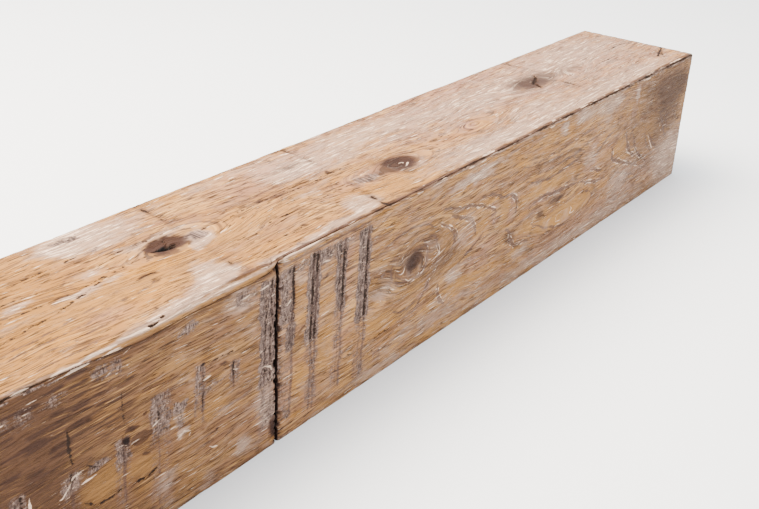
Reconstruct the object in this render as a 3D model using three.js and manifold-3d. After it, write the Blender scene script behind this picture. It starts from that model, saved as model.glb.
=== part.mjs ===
// A hollow box beam of old boards, made to be hung under a ceiling or fixed to a wall.
// Three sides are boarded and mitred together along the two upper arrises. The fourth side is open,
// so that the beam slips over a cleat, and the beam lies on that open side.
// Millimetres, +Z up. The origin is in the middle of the footprint, at floor level.
// +X runs along the beam to its right end, and the face with the butt joint and saw marks looks to -Y.

import * as THREE from "three";
import { mergeVertices } from "three/addons/utils/BufferGeometryUtils.js";
import Module from "manifold-3d";

const wasm = await Module();
wasm.setup();

// Section of the beam
const BEAM_HEIGHT = 160;
const BEAM_WIDTH = 152;
const BOARD_THICKNESS = 19;
const MITRE_GAP = 0.3;

// Lengths of the two boards of the front face and the open joint between them
const FRONT_RIGHT_LENGTH = 771;
const FRONT_LEFT_LENGTH = 277;
const JOINT_GAP = 2.4;

// The joint wanders up the face in long waves, and each side of it is torn in short ones
const JOINT_WANDER = 1.6;
const JOINT_WAVES = [
  { length: 145, share: 0.65, phase: 0.6 },
  { length: 57, share: 0.35, phase: 0 },
];
const JOINT_TEAR = 0.7;
const JOINT_TEAR_LENGTHS = { left: 9, right: 7 };
const JOINT_STEP = 5;
// The cutter of the joint runs this share of the height past the board at either edge
const JOINT_OVERRUN = 0.1;

// Wear of the long arrises: a round of this radius, which swells and shrinks along the beam
const ARRIS_RADIUS = 3.4;
const ARRIS_SWELL = 1.1;
const ARRIS_LIP_RADIUS = 3.2;
const ARRIS_LIP_RISE = 70;
const FRONT_ARRIS_WAVES = [
  { length: 195, share: 0.6, phase: 0 },
  { length: 82, share: 0.4, phase: 1.7 },
];
const BACK_ARRIS_WAVES = [
  { length: 232, share: 0.6, phase: 0.8 },
  { length: 107, share: 0.4, phase: 0 },
];
const STATION_PITCH = 12;
const ARC_STEPS = 2;

// Bites knocked out of an arris: place as a share of the beam from its right end, length and depth
const FRONT_ARRIS_BITES = [
  { along: 0.045, length: 26, depth: 2.4 },
  { along: 0.21, length: 34, depth: 2.0 },
  { along: 0.345, length: 22, depth: 2.6 },
  { along: 0.47, length: 40, depth: 1.8 },
  { along: 0.6, length: 30, depth: 2.5 },
  { along: 0.735, length: 16, depth: 3.6 },
  { along: 0.86, length: 44, depth: 2.2 },
  { along: 0.955, length: 30, depth: 2.8 },
];
const BITE_SPREAD = 1.5;
const BACK_ARRIS_BITES = [
  { along: 0.13, length: 30, depth: 2.2 },
  { along: 0.41, length: 24, depth: 2.6 },
  { along: 0.72, length: 38, depth: 2.0 },
  { along: 0.9, length: 22, depth: 2.4 },
];

// Marks of the saw across the front face, counted from the joint to either side.
// foot and head are shares of the board's height.
const KERF_WIDTH = 5;
const KERF_DEPTH = 1.1;
const KERF_SLANT = 0.035;
const KERF_STEPS = 8;
const RIGHT_KERFS = { first: 17, pitch: 29.4, feet: [0.12, 0.3, 0.24, 0.42], head: 0.965 };
const LEFT_KERFS = { first: 47, pitch: 36, feet: [0.42, 0.36, 0.3, 0.2, 0.26], head: 0.74 };

// Knots: place as a share of the beam's length from its right end and of the board's width,
// length and width of the dish, its depth, and the crack across it
const TOP_KNOTS = [
  { along: 0.765, across: 0.528, length: 42, width: 27, depth: 2.2, crack: 30 },
  { along: 0.524, across: 0.332, length: 30, width: 26, depth: 1.6, crack: 18 },
  { along: 0.236, across: 0.578, length: 50, width: 30, depth: 1.3, crack: 36 },
];
const FRONT_KNOTS = [
  { along: 0.565, across: 0.583, length: 34, width: 24, depth: 1.6, crack: 16 },
  { along: 0.294, across: 0.33, length: 44, width: 16, depth: 0.9, crack: 20 },
  { along: 0.048, across: 0.83, length: 52, width: 30, depth: 0.9, crack: 24 },
];
const KNOT_CRACK_WIDTH = 3;
const KNOT_CRACK_DEPTH = 2.6;
const KNOT_CRACK_ZIGZAG = 1.8;
const KNOT_CRACK_BENDS = 6;
const KNOT_CRACK_SLOPE = 0.2;

// Shallow strokes that a blade left across the top, from the back edge to the front edge
const SCORE_WIDTH = 3;
const SCORE_DEPTH = 0.8;
const SCORE_BOW = 4;
const SCORE_STEPS = 12;
const TOP_SCORES = [
  { back: 0.736, front: 0.76, from: 0.97, to: 0.02 },
  { back: 0.571, front: 0.603, from: 0.98, to: 0.02 },
  { back: 0.202, front: 0.215, from: 0.98, to: 0.3 },
];

// A drying split along the front face near the left end
const SPLIT = { from: 0.853, to: 0.911, across: 0.31, rise: 0.012, waves: 1.5, width: 2.4, depth: 3 };
const SPLIT_STEPS = 10;

// A cutter stands this far out of the face that it cuts
const CUT_LIFT = 2;
const CUT_SHOULDER = 0.2;
// A groove fades out towards its ends, but keeps this share of its width and depth there.
// The fade starts this part of a step before the first point of its path.
const CUT_FEATHER = 0.25;
const CUT_LEAD = 0.25;
// A dish is cut by the foot of an oval ball, whose centre is this share of its half height above the face
const DISH_CENTRE = 0.5;
// Facets round and down the balls that cut the dishes and the bites
const DISH_FACETS = [18, 10];
const BITE_FACETS = [14, 8];
// Points closer than this are one corner
const WELD = 1e-4;

const BEAM_LENGTH = FRONT_RIGHT_LENGTH + JOINT_GAP + FRONT_LEFT_LENGTH;
const RIGHT_END = BEAM_LENGTH / 2;
const LEFT_END = -BEAM_LENGTH / 2;
const JOINT_X = RIGHT_END - FRONT_RIGHT_LENGTH - JOINT_GAP / 2;
const MITRE_SHIFT = MITRE_GAP / Math.SQRT2;

// A sum of long and short waves at a distance along an edge, from -1 to 1
function waver(waves, at) {
  return waves.reduce(
    (sum, wave) => sum + wave.share * Math.sin((2 * Math.PI * at) / wave.length + wave.phase),
    0,
  );
}

// x of a place that is given as a share of the length, counted from the right end
const alongBeam = (share) => RIGHT_END - share * BEAM_LENGTH;

// A closed skin through rings of points. Each ring runs counter-clockwise seen from the far end.
function loft(rings) {
  const count = rings[0].length;
  const positions = rings.flat().flatMap((point) => [point.x, point.y, point.z]);
  const index = [];
  for (let i = 0; i + 1 < rings.length; i++) {
    for (let j = 0; j < count; j++) {
      const next = (j + 1) % count;
      const a = i * count + j;
      const b = i * count + next;
      index.push(a, b, b + count, a, b + count, a + count);
    }
  }
  const last = (rings.length - 1) * count;
  for (let j = 1; j + 1 < count; j++) {
    index.push(0, j + 1, j);
    index.push(last, last + j, last + j + 1);
  }
  const geometry = new THREE.BufferGeometry();
  geometry.setAttribute("position", new THREE.Float32BufferAttribute(positions, 3));
  geometry.setIndex(index);
  return geometry;
}

function solidOf(geometry) {
  const bare = geometry.clone();
  bare.deleteAttribute("normal");
  bare.deleteAttribute("uv");
  const merged = mergeVertices(bare, WELD);
  return new wasm.Manifold(
    new wasm.Mesh({
      numProp: 3,
      vertProperties: new Float32Array(merged.attributes.position.array),
      triVerts: new Uint32Array(merged.index.array),
    }),
  );
}

function geometryOf(solid) {
  const mesh = solid.getMesh();
  const geometry = new THREE.BufferGeometry();
  geometry.setAttribute("position", new THREE.BufferAttribute(mesh.vertProperties, 3));
  geometry.setIndex(new THREE.BufferAttribute(mesh.triVerts, 1));
  geometry.computeVertexNormals();
  return geometry;
}

// Radius of the worn front arris: generous on the left board, where it is a rolled lip
function frontArrisRadius(x) {
  const lip = THREE.MathUtils.smoothstep(JOINT_X - x, 0, ARRIS_LIP_RISE);
  return ARRIS_RADIUS + ARRIS_SWELL * waver(FRONT_ARRIS_WAVES, x) + ARRIS_LIP_RADIUS * lip;
}

function backArrisRadius(x) {
  return ARRIS_RADIUS + ARRIS_SWELL * waver(BACK_ARRIS_WAVES, x);
}

// Points of a worn, mitred edge in a board's own frame, from the arris at (0, 0) to the inner corner
function mitredEdge(radius) {
  const points = [];
  for (let i = 0; i <= ARC_STEPS; i++) {
    const angle = Math.PI / 2 + (i / ARC_STEPS) * (Math.PI / 4);
    const atMitre = i === ARC_STEPS ? MITRE_SHIFT : 0;
    points.push([radius + radius * Math.cos(angle) + atMitre, radius * Math.sin(angle) - radius]);
  }
  points.push([BOARD_THICKNESS + MITRE_SHIFT, -BOARD_THICKNESS]);
  return points;
}

const squareEdge = () => [
  [0, 0],
  [0, -BOARD_THICKNESS],
];
const mitredFront = (x) => mitredEdge(frontArrisRadius(x));
const mitredBack = (x) => mitredEdge(backArrisRadius(x));

// A board in its own frame: x along the beam, y across the board, and its outer face at z = 0
function board(width, lowEdge, highEdge) {
  const stations = Math.ceil(BEAM_LENGTH / STATION_PITCH);
  const rings = [];
  for (let i = 0; i <= stations; i++) {
    const x = LEFT_END + (i / stations) * BEAM_LENGTH;
    const low = lowEdge(x);
    const high = highEdge(x).map(([y, z]) => [width - y, z]);
    const outline = [...high.reverse(), ...low];
    rings.push(outline.map(([y, z]) => new THREE.Vector3(x, y, z)));
  }
  return solidOf(loft(rings));
}

// A groove in a board's outer face along a path of points, fading out at both ends
function groove(path, width, depth) {
  const rings = path.map((point, i) => {
    const before = path[Math.max(i - 1, 0)];
    const after = path[Math.min(i + 1, path.length - 1)];
    const along = after.clone().sub(before).normalize();
    const fade = Math.sqrt(Math.sin((Math.PI * (i + CUT_LEAD)) / (path.length - 2 * CUT_LEAD)));
    const half = (width / 2) * Math.max(fade, CUT_FEATHER);
    const bottom = -depth * Math.max(fade, CUT_FEATHER);
    const section = [
      [0, bottom],
      [half, CUT_SHOULDER],
      [half, CUT_LIFT],
      [-half, CUT_LIFT],
      [-half, CUT_SHOULDER],
    ];
    return section.map(
      ([side, up]) => new THREE.Vector3(point.x - along.y * side, point.y + along.x * side, up),
    );
  });
  return solidOf(loft(rings));
}

// A shallow oval dish in a board's outer face
function dish(x, y, length, width, depth) {
  const ball = depth / (1 - DISH_CENTRE);
  const spread = 1 / Math.sqrt(1 - DISH_CENTRE ** 2);
  const geometry = new THREE.SphereGeometry(1, ...DISH_FACETS);
  geometry.rotateX(Math.PI / 2);
  geometry.scale((spread * length) / 2, (spread * width) / 2, ball);
  geometry.translate(x, y, ball - depth);
  return solidOf(geometry);
}

// A bite out of an arris, the same in both boards that meet there
function bite(x, y, length, depth) {
  const geometry = new THREE.SphereGeometry(1, ...BITE_FACETS);
  geometry.rotateX(Math.PI / 2);
  geometry.scale(length / 2, BITE_SPREAD * depth, BITE_SPREAD * depth);
  geometry.translate(x, y, 0);
  return solidOf(geometry);
}

function zigzag(x, y, length) {
  const points = [];
  for (let i = 0; i <= KNOT_CRACK_BENDS; i++) {
    const reach = (i / KNOT_CRACK_BENDS - 0.5) * length;
    const swing = KNOT_CRACK_ZIGZAG * (i % 2 === 0 ? 1 : -1);
    points.push(new THREE.Vector2(x + reach, y + swing + KNOT_CRACK_SLOPE * reach));
  }
  return points;
}

function knotCutters(knots, width) {
  return knots.flatMap((knot) => {
    const x = alongBeam(knot.along);
    const y = knot.across * width;
    return [
      dish(x, y, knot.length, knot.width, knot.depth),
      groove(zigzag(x, y, knot.crack), KNOT_CRACK_WIDTH, knot.depth + KNOT_CRACK_DEPTH),
    ];
  });
}

// Saw marks on one side of the joint. side is +1 to the right of it and -1 to the left.
function kerfCutters(kerfs, side) {
  return kerfs.feet.map((foot, i) => {
    const x = JOINT_X + side * (kerfs.first + i * kerfs.pitch);
    const path = [];
    for (let k = 0; k <= KERF_STEPS; k++) {
      const y = BEAM_HEIGHT * THREE.MathUtils.lerp(foot, kerfs.head, k / KERF_STEPS);
      path.push(new THREE.Vector2(x + KERF_SLANT * (y - BEAM_HEIGHT), y));
    }
    return groove(path, KERF_WIDTH, KERF_DEPTH);
  });
}

function scoreCutters() {
  return TOP_SCORES.map((score) => {
    const path = [];
    for (let k = 0; k <= SCORE_STEPS; k++) {
      const across = THREE.MathUtils.lerp(score.from, score.to, k / SCORE_STEPS);
      const share = THREE.MathUtils.lerp(score.front, score.back, across);
      const bow = SCORE_BOW * Math.sin(Math.PI * across);
      path.push(new THREE.Vector2(alongBeam(share) + bow, across * BEAM_WIDTH));
    }
    return groove(path, SCORE_WIDTH, SCORE_DEPTH);
  });
}

function splitCutter() {
  const path = [];
  for (let k = 0; k <= SPLIT_STEPS; k++) {
    const share = THREE.MathUtils.lerp(SPLIT.from, SPLIT.to, k / SPLIT_STEPS);
    const wave = Math.sin((2 * Math.PI * SPLIT.waves * k) / SPLIT_STEPS);
    const across = SPLIT.across + SPLIT.rise * wave;
    path.push(new THREE.Vector2(alongBeam(share), across * BEAM_HEIGHT));
  }
  return groove(path, SPLIT.width, SPLIT.depth);
}

const biteCutters = (bites, y) =>
  bites.map((one) => bite(alongBeam(one.along), y, one.length, one.depth));

const cutAll = (solid, cutters) => cutters.reduce((rest, cutter) => rest.subtract(cutter), solid);

// How far the torn joint stands off its straight line at a height. side tears each board apart.
function jointOffset(height, side) {
  const tearLength = side > 0 ? JOINT_TEAR_LENGTHS.right : JOINT_TEAR_LENGTHS.left;
  const tear = Math.abs(Math.sin((2 * Math.PI * height) / tearLength));
  return JOINT_WANDER * waver(JOINT_WAVES, height) + side * JOINT_TEAR * tear;
}

// The block that holds one of the two front boards: it ends in the torn joint
function jointBlock(side) {
  const foot = -JOINT_OVERRUN * BEAM_HEIGHT;
  const head = BEAM_HEIGHT - foot;
  const steps = Math.ceil((head - foot) / JOINT_STEP);
  const reach = side * BEAM_LENGTH;
  const shape = new THREE.Shape();
  shape.moveTo(reach, foot);
  for (let i = 0; i <= steps; i++) {
    const height = THREE.MathUtils.lerp(foot, head, i / steps);
    shape.lineTo(JOINT_X + (side * JOINT_GAP) / 2 + jointOffset(height, side), height);
  }
  shape.lineTo(reach, head);
  const below = 2 * BOARD_THICKNESS;
  const depth = below + BOARD_THICKNESS;
  const geometry = new THREE.ExtrudeGeometry(shape, { depth, bevelEnabled: false });
  geometry.translate(0, 0, -below);
  return solidOf(geometry);
}

const topWood = new THREE.MeshStandardMaterial({ color: 0xcba276, roughness: 0.72, metalness: 0 });
const frontWood = new THREE.MeshStandardMaterial({ color: 0xa98458, roughness: 0.75, metalness: 0 });
const leftWood = new THREE.MeshStandardMaterial({ color: 0xa07c50, roughness: 0.78, metalness: 0 });
const backWood = new THREE.MeshStandardMaterial({ color: 0xa48660, roughness: 0.8, metalness: 0 });

function makeTopBoard() {
  const plain = board(BEAM_WIDTH, mitredFront, mitredBack);
  const cutters = [
    ...biteCutters(FRONT_ARRIS_BITES, 0),
    ...biteCutters(BACK_ARRIS_BITES, BEAM_WIDTH),
    ...knotCutters(TOP_KNOTS, BEAM_WIDTH),
    ...scoreCutters(),
  ];
  const mesh = new THREE.Mesh(geometryOf(cutAll(plain, cutters)), topWood);
  mesh.name = "top_board";
  mesh.position.set(0, -BEAM_WIDTH / 2, BEAM_HEIGHT);
  return mesh;
}

function makeFrontBoards() {
  const plain = board(BEAM_HEIGHT, squareEdge, mitredFront);
  const cutters = [
    ...biteCutters(FRONT_ARRIS_BITES, BEAM_HEIGHT),
    ...knotCutters(FRONT_KNOTS, BEAM_HEIGHT),
    ...kerfCutters(RIGHT_KERFS, 1),
    ...kerfCutters(LEFT_KERFS, -1),
    splitCutter(),
  ];
  const worn = cutAll(plain, cutters);
  const right = new THREE.Mesh(geometryOf(worn.intersect(jointBlock(1))), frontWood);
  right.name = "front_board_right";
  const left = new THREE.Mesh(geometryOf(worn.intersect(jointBlock(-1))), leftWood);
  left.name = "front_board_left";
  const face = new THREE.Group();
  face.position.set(0, -BEAM_WIDTH / 2, 0);
  face.rotation.x = Math.PI / 2;
  face.add(right, left);
  return face;
}

function makeBackBoard() {
  const plain = board(BEAM_HEIGHT, mitredBack, squareEdge);
  const mesh = new THREE.Mesh(
    geometryOf(cutAll(plain, biteCutters(BACK_ARRIS_BITES, 0))),
    backWood,
  );
  mesh.name = "back_board";
  mesh.position.set(0, BEAM_WIDTH / 2, BEAM_HEIGHT);
  mesh.rotation.x = -Math.PI / 2;
  return mesh;
}

const beam = new THREE.Group();
beam.add(makeTopBoard(), makeFrontBoards(), makeBackBoard());

export default beam;
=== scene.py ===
# A hollow box beam of weathered oak boards, lying on its open side on a white studio floor.
import math
from collections import namedtuple
from functools import partial

import bpy
import numpy as np
from mathutils import Matrix, Vector


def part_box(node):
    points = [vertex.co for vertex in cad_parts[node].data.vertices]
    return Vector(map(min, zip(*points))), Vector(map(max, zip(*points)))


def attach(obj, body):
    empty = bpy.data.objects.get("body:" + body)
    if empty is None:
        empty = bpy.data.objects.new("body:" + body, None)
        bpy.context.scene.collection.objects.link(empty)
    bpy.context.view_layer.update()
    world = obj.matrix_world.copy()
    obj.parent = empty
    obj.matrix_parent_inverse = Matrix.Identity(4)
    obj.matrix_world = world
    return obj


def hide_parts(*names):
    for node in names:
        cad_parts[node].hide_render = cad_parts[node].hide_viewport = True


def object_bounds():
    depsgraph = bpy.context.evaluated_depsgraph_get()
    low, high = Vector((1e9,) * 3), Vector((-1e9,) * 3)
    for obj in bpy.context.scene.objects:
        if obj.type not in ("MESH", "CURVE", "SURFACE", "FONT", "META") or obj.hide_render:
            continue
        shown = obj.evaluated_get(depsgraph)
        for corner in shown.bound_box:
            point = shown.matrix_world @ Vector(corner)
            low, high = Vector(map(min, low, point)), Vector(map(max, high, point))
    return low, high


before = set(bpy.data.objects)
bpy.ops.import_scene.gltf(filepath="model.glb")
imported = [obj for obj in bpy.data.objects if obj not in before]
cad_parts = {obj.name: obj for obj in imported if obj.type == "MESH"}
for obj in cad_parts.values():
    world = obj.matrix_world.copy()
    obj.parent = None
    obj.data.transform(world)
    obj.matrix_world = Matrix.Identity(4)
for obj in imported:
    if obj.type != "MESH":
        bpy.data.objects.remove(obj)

CAD_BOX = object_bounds()
MM = 0.001

# Sizes of the beam, in millimetres, read from the frame
RIGHT_END = CAD_BOX[1][0] / MM
LEFT_END = CAD_BOX[0][0] / MM
FRONT = CAD_BOX[0][1] / MM
BACK = CAD_BOX[1][1] / MM
HEIGHT = CAD_BOX[1][2] / MM
WIDTH = BACK - FRONT
FRONT_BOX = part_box("front_board_right")
THICKNESS = (FRONT_BOX[1][1] - FRONT_BOX[0][1]) / MM
JOINT_X = (FRONT_BOX[0][0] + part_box("front_board_left")[1][0]) / 2 / MM
JOINT = RIGHT_END - JOINT_X
LENGTH = RIGHT_END - LEFT_END

# Radii of the worn arrises right and left of the joint and at the back, and how much they swell
ROUND_RIGHT = 3.0
ROUND_LEFT = 5.5
ROUND_BACK = 3.2
ROUND_SWELL = 0.8
# Each of the two faces takes half of an arris's quarter turn
HALF_ROUND = math.pi / 4
# Gaps between the boards, at the mitres and at the butt joint
MITRE_GAP = 0.5
JOINT_GAP = 2.4

# The mitre's seam below the crest of the front arris, by distance from the right end.
# On the left board the top board's lip rolls over the front, on the right the seam lies on top.
SEAM_ALONG = [0, 300, 640, 720, 769, 775, 800, 860, 900, 930, 975, LENGTH]
SEAM_BELOW = [0.5, -0.6, -1.2, -2.6, -2.4, 5.0, 6.0, 6.0, 7.5, 5.0, 1.0, 0.5]
# How open it is at those places, from 0 to 1
SEAM_SHOWN = [0.8, 0.8, 0.7, 0.5, 0.5, 0.1, 0.0, 0.05, 0.1, 0.35, 0.6, 0.6]


# Noise along a line is read half way up its cells, and the layers of rougher noise are shifted apart
MID_CELL = 0.5
LAYERS = 3
LAYER_SHIFT = (17.3, 5.1)
# Large odd numbers that stir a place and a seed into a repeatable value of 32 bits
STIR_X = 374761393
STIR_Y = 668265263
STIR_SEED = 974634777
STIR_AGAIN = 1274126177
ALL_BITS = 0xFFFFFFFF


def lattice(ix, iy, seed):
    """A repeatable number from 0 to 1 for each whole-numbered place."""
    mixed = ix.astype(np.int64) * STIR_X + iy.astype(np.int64) * STIR_Y + seed * STIR_SEED & ALL_BITS
    mixed = (mixed ^ mixed >> 13) * STIR_AGAIN & ALL_BITS
    return (mixed ^ mixed >> 16) / ALL_BITS


def fade(t):
    """Rises from 0 to 1 with a level slope and no bend at both ends."""
    return t * t * t * (t * (t * 6 - 15) + 10)


def rough(x, y, seed):
    """Smooth noise from -1 to 1 with features one unit wide."""
    x, y = np.broadcast_arrays(np.asarray(x, float), np.asarray(y, float))
    ix, iy = np.floor(x), np.floor(y)
    fx, fy = fade(x - ix), fade(y - iy)
    low = lattice(ix, iy, seed) * (1 - fx) + lattice(ix + 1, iy, seed) * fx
    high = lattice(ix, iy + 1, seed) * (1 - fx) + lattice(ix + 1, iy + 1, seed) * fx
    return 2 * (low * (1 - fy) + high * fy) - 1


def ripple(x, wide, seed):
    """Smooth noise from -1 to 1 along one line, with features of the given width."""
    return rough(x / wide, MID_CELL, seed)


def rougher(x, y, seed):
    """Noise in layers, each half as wide and half as strong as the one before."""
    (shift_x, shift_y), total = LAYER_SHIFT, 0
    for k in range(LAYERS):
        total = total + rough(x * 2**k + shift_x * k, y * 2**k + shift_y * k, seed + k) / 2**k
    return total / (2 - 2 ** (1 - LAYERS))


def clamp(value):
    """Keeps a value between 0 and 1."""
    return np.clip(value, 0, 1)


def step(low, high, value):
    """Rises smoothly from 0 at low to 1 at high, or falls where high is the lower of them."""
    t = clamp((value - low) / (high - low))
    return t * t * (3 - 2 * t)


def oval(u, v, place, size, soft=0.4):
    """1 inside an oval spot, fading to 0 over the outer share of it."""
    reach = np.hypot((u - place[0]) / (size[0] / 2), (v - place[1]) / (size[1] / 2))
    return 1 - step(1 - soft, 1 + soft, reach)


def near_path(u, v, points):
    """Distance in millimetres to a path of points, and how far along it from 0 to 1."""
    best = np.full(np.shape(u), 1e9)
    along = np.zeros(np.shape(u))
    spans = len(points) - 1
    for k in range(spans):
        (u0, v0), (u1, v1) = points[k], points[k + 1]
        du, dv = u1 - u0, v1 - v0
        t = clamp(((u - u0) * du + (v - v0) * dv) / (du * du + dv * dv))
        away = np.hypot(u - u0 - t * du, v - v0 - t * dv)
        along = np.where(away < best, (k + t) / spans, along)
        best = np.minimum(best, away)
    return best, along


# A thin line is stored as a cone this wide, which the material cuts off crisply at half its height,
# so that it can be thinner than the mesh is fine
LINE_REACH = 4.2
LINE_WIDEST = 3.4


def cone(away, half):
    """A line of the given half width, by the distance from its middle."""
    return clamp(1 - away / LINE_REACH) * 0.5 / (1 - np.clip(half, 0, LINE_WIDEST) / LINE_REACH)


def hump(place, half, power=2):
    """1 at 0, falling to nearly 0 at twice the half width. A higher power gives steeper sides."""
    return np.exp(-((place / half) ** power))


def raise_to(face, field, amount):
    """Raises a field to an amount where it lies below it."""
    face[field] = np.maximum(face[field], amount)


def soft_min(a, b, blend):
    """The lower of two fields, rounded over where they meet."""
    mix = clamp(0.5 + 0.5 * (b - a) / blend)
    return b * (1 - mix) + a * mix - blend * mix * (1 - mix)


# In all wear below, lengths and depths are millimetres and the other factors are the strengths of marks

# A grey weathered band of the saw: its place, its top and foot, the foot of a fainter tail, its
# half width and strength, and dark lines, each by its distance from the middle and its strength
Band = namedtuple("Band", "at top foot tail half grey lines", defaults=[()])

# Marks of the front face. Places are millimetres from the right end and above the floor.
KERFS = [
    Band(761, 150, 100, 12, 8.5, 0.85, [(-7, 1.0)]),
    Band(730, 152, 74, 4, 7.5, 1.0, [(0.5, 1.0), (-4, 0.9)]),
    Band(696.5, 151, 84, 8, 6.8, 1.0, [(-3.5, 0.8), (1, 0.4)]),
    Band(666, 151, 66, 8, 8.0, 1.0, [(-4, 0.9), (2, 0.3)]),
    Band(782, 149, 60, 8, 8.5, 1.0, [(2, 0.35), (-4, 0.5)]),
    Band(817, 98, 78, 66, 5.5, 0.58, [(1, 0.6)]),
    Band(852, 111, 70, 50, 5.8, 0.66, [(-3, 0.4)]),
    Band(889, 106, 70, 4, 9.2, 0.68, [(2, 0.3)]),
    Band(922.5, 88, 64, 24, 7.0, 0.68, [(-1, 0.8)]),
    Band(966, 84, 66, 40, 8.4, 0.64, [(-2, 0.6)]),
    Band(1004, 90, 66, 30, 6.0, 0.6, [(-2, 0.5)]),
]
# Short weathered patches beside them, with no line of their own
PATCHES = [
    Band(713, 151, 136, 132, 11, 0.8),
    Band(745, 151, 140, 134, 9, 0.6),
    Band(680, 151, 144, 138, 8, 0.6),
    Band(806, 151, 138, 130, 13, 0.7),
    Band(929, 150, 136, 128, 9, 0.64),
    Band(1001, 148, 134, 128, 13, 0.5),
    Band(1030, 120, 90, 80, 10, 0.45),
    Band(640, 30, 14, 4, 6, 0.5),
]
# How far the bands lean off the upright, about their middle height
KERF_LEAN = 0.035
KERF_MIDDLE = 110

# A figure bends the growth rings round itself: its centre, how far it is stretched along the beam to
# the right and to the left, the rings' count at its centre and its growth for each millimetre
# outward, and how far the fibres turn round it
Figure = namedtuple("Figure", "at right left start rate turn", defaults=[0, 1.0, 22])
RING_BLEND = 9.0
FRONT_FIGURES = [
    Figure((593, 93), 2.3, 1.35),
    Figure((311, 49), 4.2, 3.6, 12, 1.25, 16),
    Figure((70, 122), 1.0, 1.9, 0, 0.85, 0.5),
]
TOP_FIGURES = [
    Figure((803, 79), 2.6, 3.2),
    Figure((549, 50), 2.4, 3.0),
    Figure((250, 88), 2.6, 2.8),
    Figure((420, 60), 3.2, 3.2, 7, 1.3, 18),
    Figure((178, 76), 2.4, 2.4, 8, 1.3, 13),
]


def rings(u, v, figures, trunk, seed, warp=1.0):
    """Growth-ring distance and fibre position, both in millimetres."""
    wu = u + warp * (9 * rough(u / 90, v / 60, seed) + 3 * rough(u / 30, v / 22, seed + 1))
    wv = v + warp * (5 * rough(u / 110, v / 50, seed + 2) + 1.6 * rough(u / 34, v / 16, seed + 3))
    ring = trunk(wu, wv)
    fibre = np.array(wv, dtype=float)
    for one in figures:
        du, dv = wu - one.at[0], wv - one.at[1]
        reach = np.hypot(du / np.where(du > 0, one.left, one.right), dv)
        ring = soft_min(ring, one.start + one.rate * reach, RING_BLEND)
        near = hump(reach, one.turn)
        fibre = fibre * (1 - near) + (one.at[1] + reach) * near
    return ring, fibre


def front_trunk(u, v):
    """Rings of the plain-sawn front: flames that point right between two straight zones."""
    centre = 88 + 10 * np.sin(u / 140)
    flame = (v - centre) ** 2 / 95 + 26 + 0.055 * (600 - u)
    return np.clip(flame, 6, None)


def top_trunk(u, v):
    """Rings of the top: straight grain about a line that wanders a little."""
    return 30 + np.abs(v - 74 - 6 * np.sin(u / 210 + 0.8)) * 0.9


# The fields of a face that the material reads, by the vector attribute that carries three of them:
# wear and colour from 0 to 1 or more, and thin lines as cones
CARRIED = {
    "wear": ("wash", "grey", "dark"),
    "tint": ("gold", "pink", "shade"),
    "rise": ("figure", "chip", "isle"),
    "lines": ("white", "brown", "black"),
}


def blank(u):
    """A face with no marks: every field that the material reads, and the depth of the surface."""
    return {name: np.zeros(np.shape(u)) for name in ("depth", *sum(CARRIED.values(), ()))}


# The seed of the first saw band, and how far apart the bands' seeds are
BAND_SEED = 100
BACK_BAND_SEED = 420
BAND_SEED_STEP = 10


def kerf(face, u, v, one, seed):
    """Lays one weathered band of the saw on the fields."""
    off = u - one.at + KERF_LEAN * (v - KERF_MIDDLE) - 0.9 * ripple(v, 17, seed)
    below_top = 1 - step(one.top - 4, one.top + 3, v)
    body = step(one.foot - 10, one.foot + 8, v) * below_top
    tail = step(one.tail - 8, one.tail + 14, v) * below_top
    patchy = np.clip(0.95 + 0.5 * rougher(u / 7, v / 16, seed + 1), 0.3, 1)
    ragged = one.half * (1.15 + 0.35 * rougher(u / 9, v / 7, seed + 2))
    band = 1 - step(0.65, 1.2, np.abs(off) / ragged)
    raise_to(face, "grey", one.grey * band * np.maximum(body * patchy, 0.5 * tail * patchy**2))
    face["pink"] += 0.5 * band * tail
    face["depth"] += 0.5 * hump(off, 0.75 * one.half) * (body + 0.2 * tail) * patchy
    for k, (place, weight) in enumerate(one.lines):
        worn = clamp(0.85 + 0.5 * ripple(v, 8, seed + 4 + k)) * np.maximum(body, 0.5 * tail)
        raise_to(face, "black", cone(np.abs(off - place), 1.5 * weight * worn) * step(0.5, 0.8, worn))
        raise_to(face, "brown", cone(np.abs(off - place), 1.5 * weight) * tail)
        line = hump(off - place, 1.4)
        face["depth"] += 0.8 * weight * line * np.maximum(body, 0.4 * tail)
        raise_to(face, "dark", 0.5 * weight * line * body)


def lay_spots(face, u, v, spots, seed):
    """Lays soft ragged ovals on the fields. Each has a centre, a width and height, a softness and
    a weight."""
    ragged_u = u + 3.0 * rough(u / 11, v / 8, seed) + 1.3 * rough(u / 3.4, v / 3.4, seed + 2)
    ragged_v = v + 2.0 * rough(u / 10, v / 7, seed + 1) + 0.9 * rough(u / 3.4, v / 2.6, seed + 3)
    for field, ovals in spots.items():
        for at_u, at_v, wide, high, soft, weight in ovals:
            spot = weight * oval(ragged_u, ragged_v, (at_u, at_v), (wide, high), soft)
            if field in ("grey", "dark"):
                raise_to(face, field, spot)
            else:
                face[field] += spot


# Pale residue beside a brown loop of the grain: its distance from the loop and its half width
RESIDUE_OFF = 0.5
RESIDUE_HALF = 0.7


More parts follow.
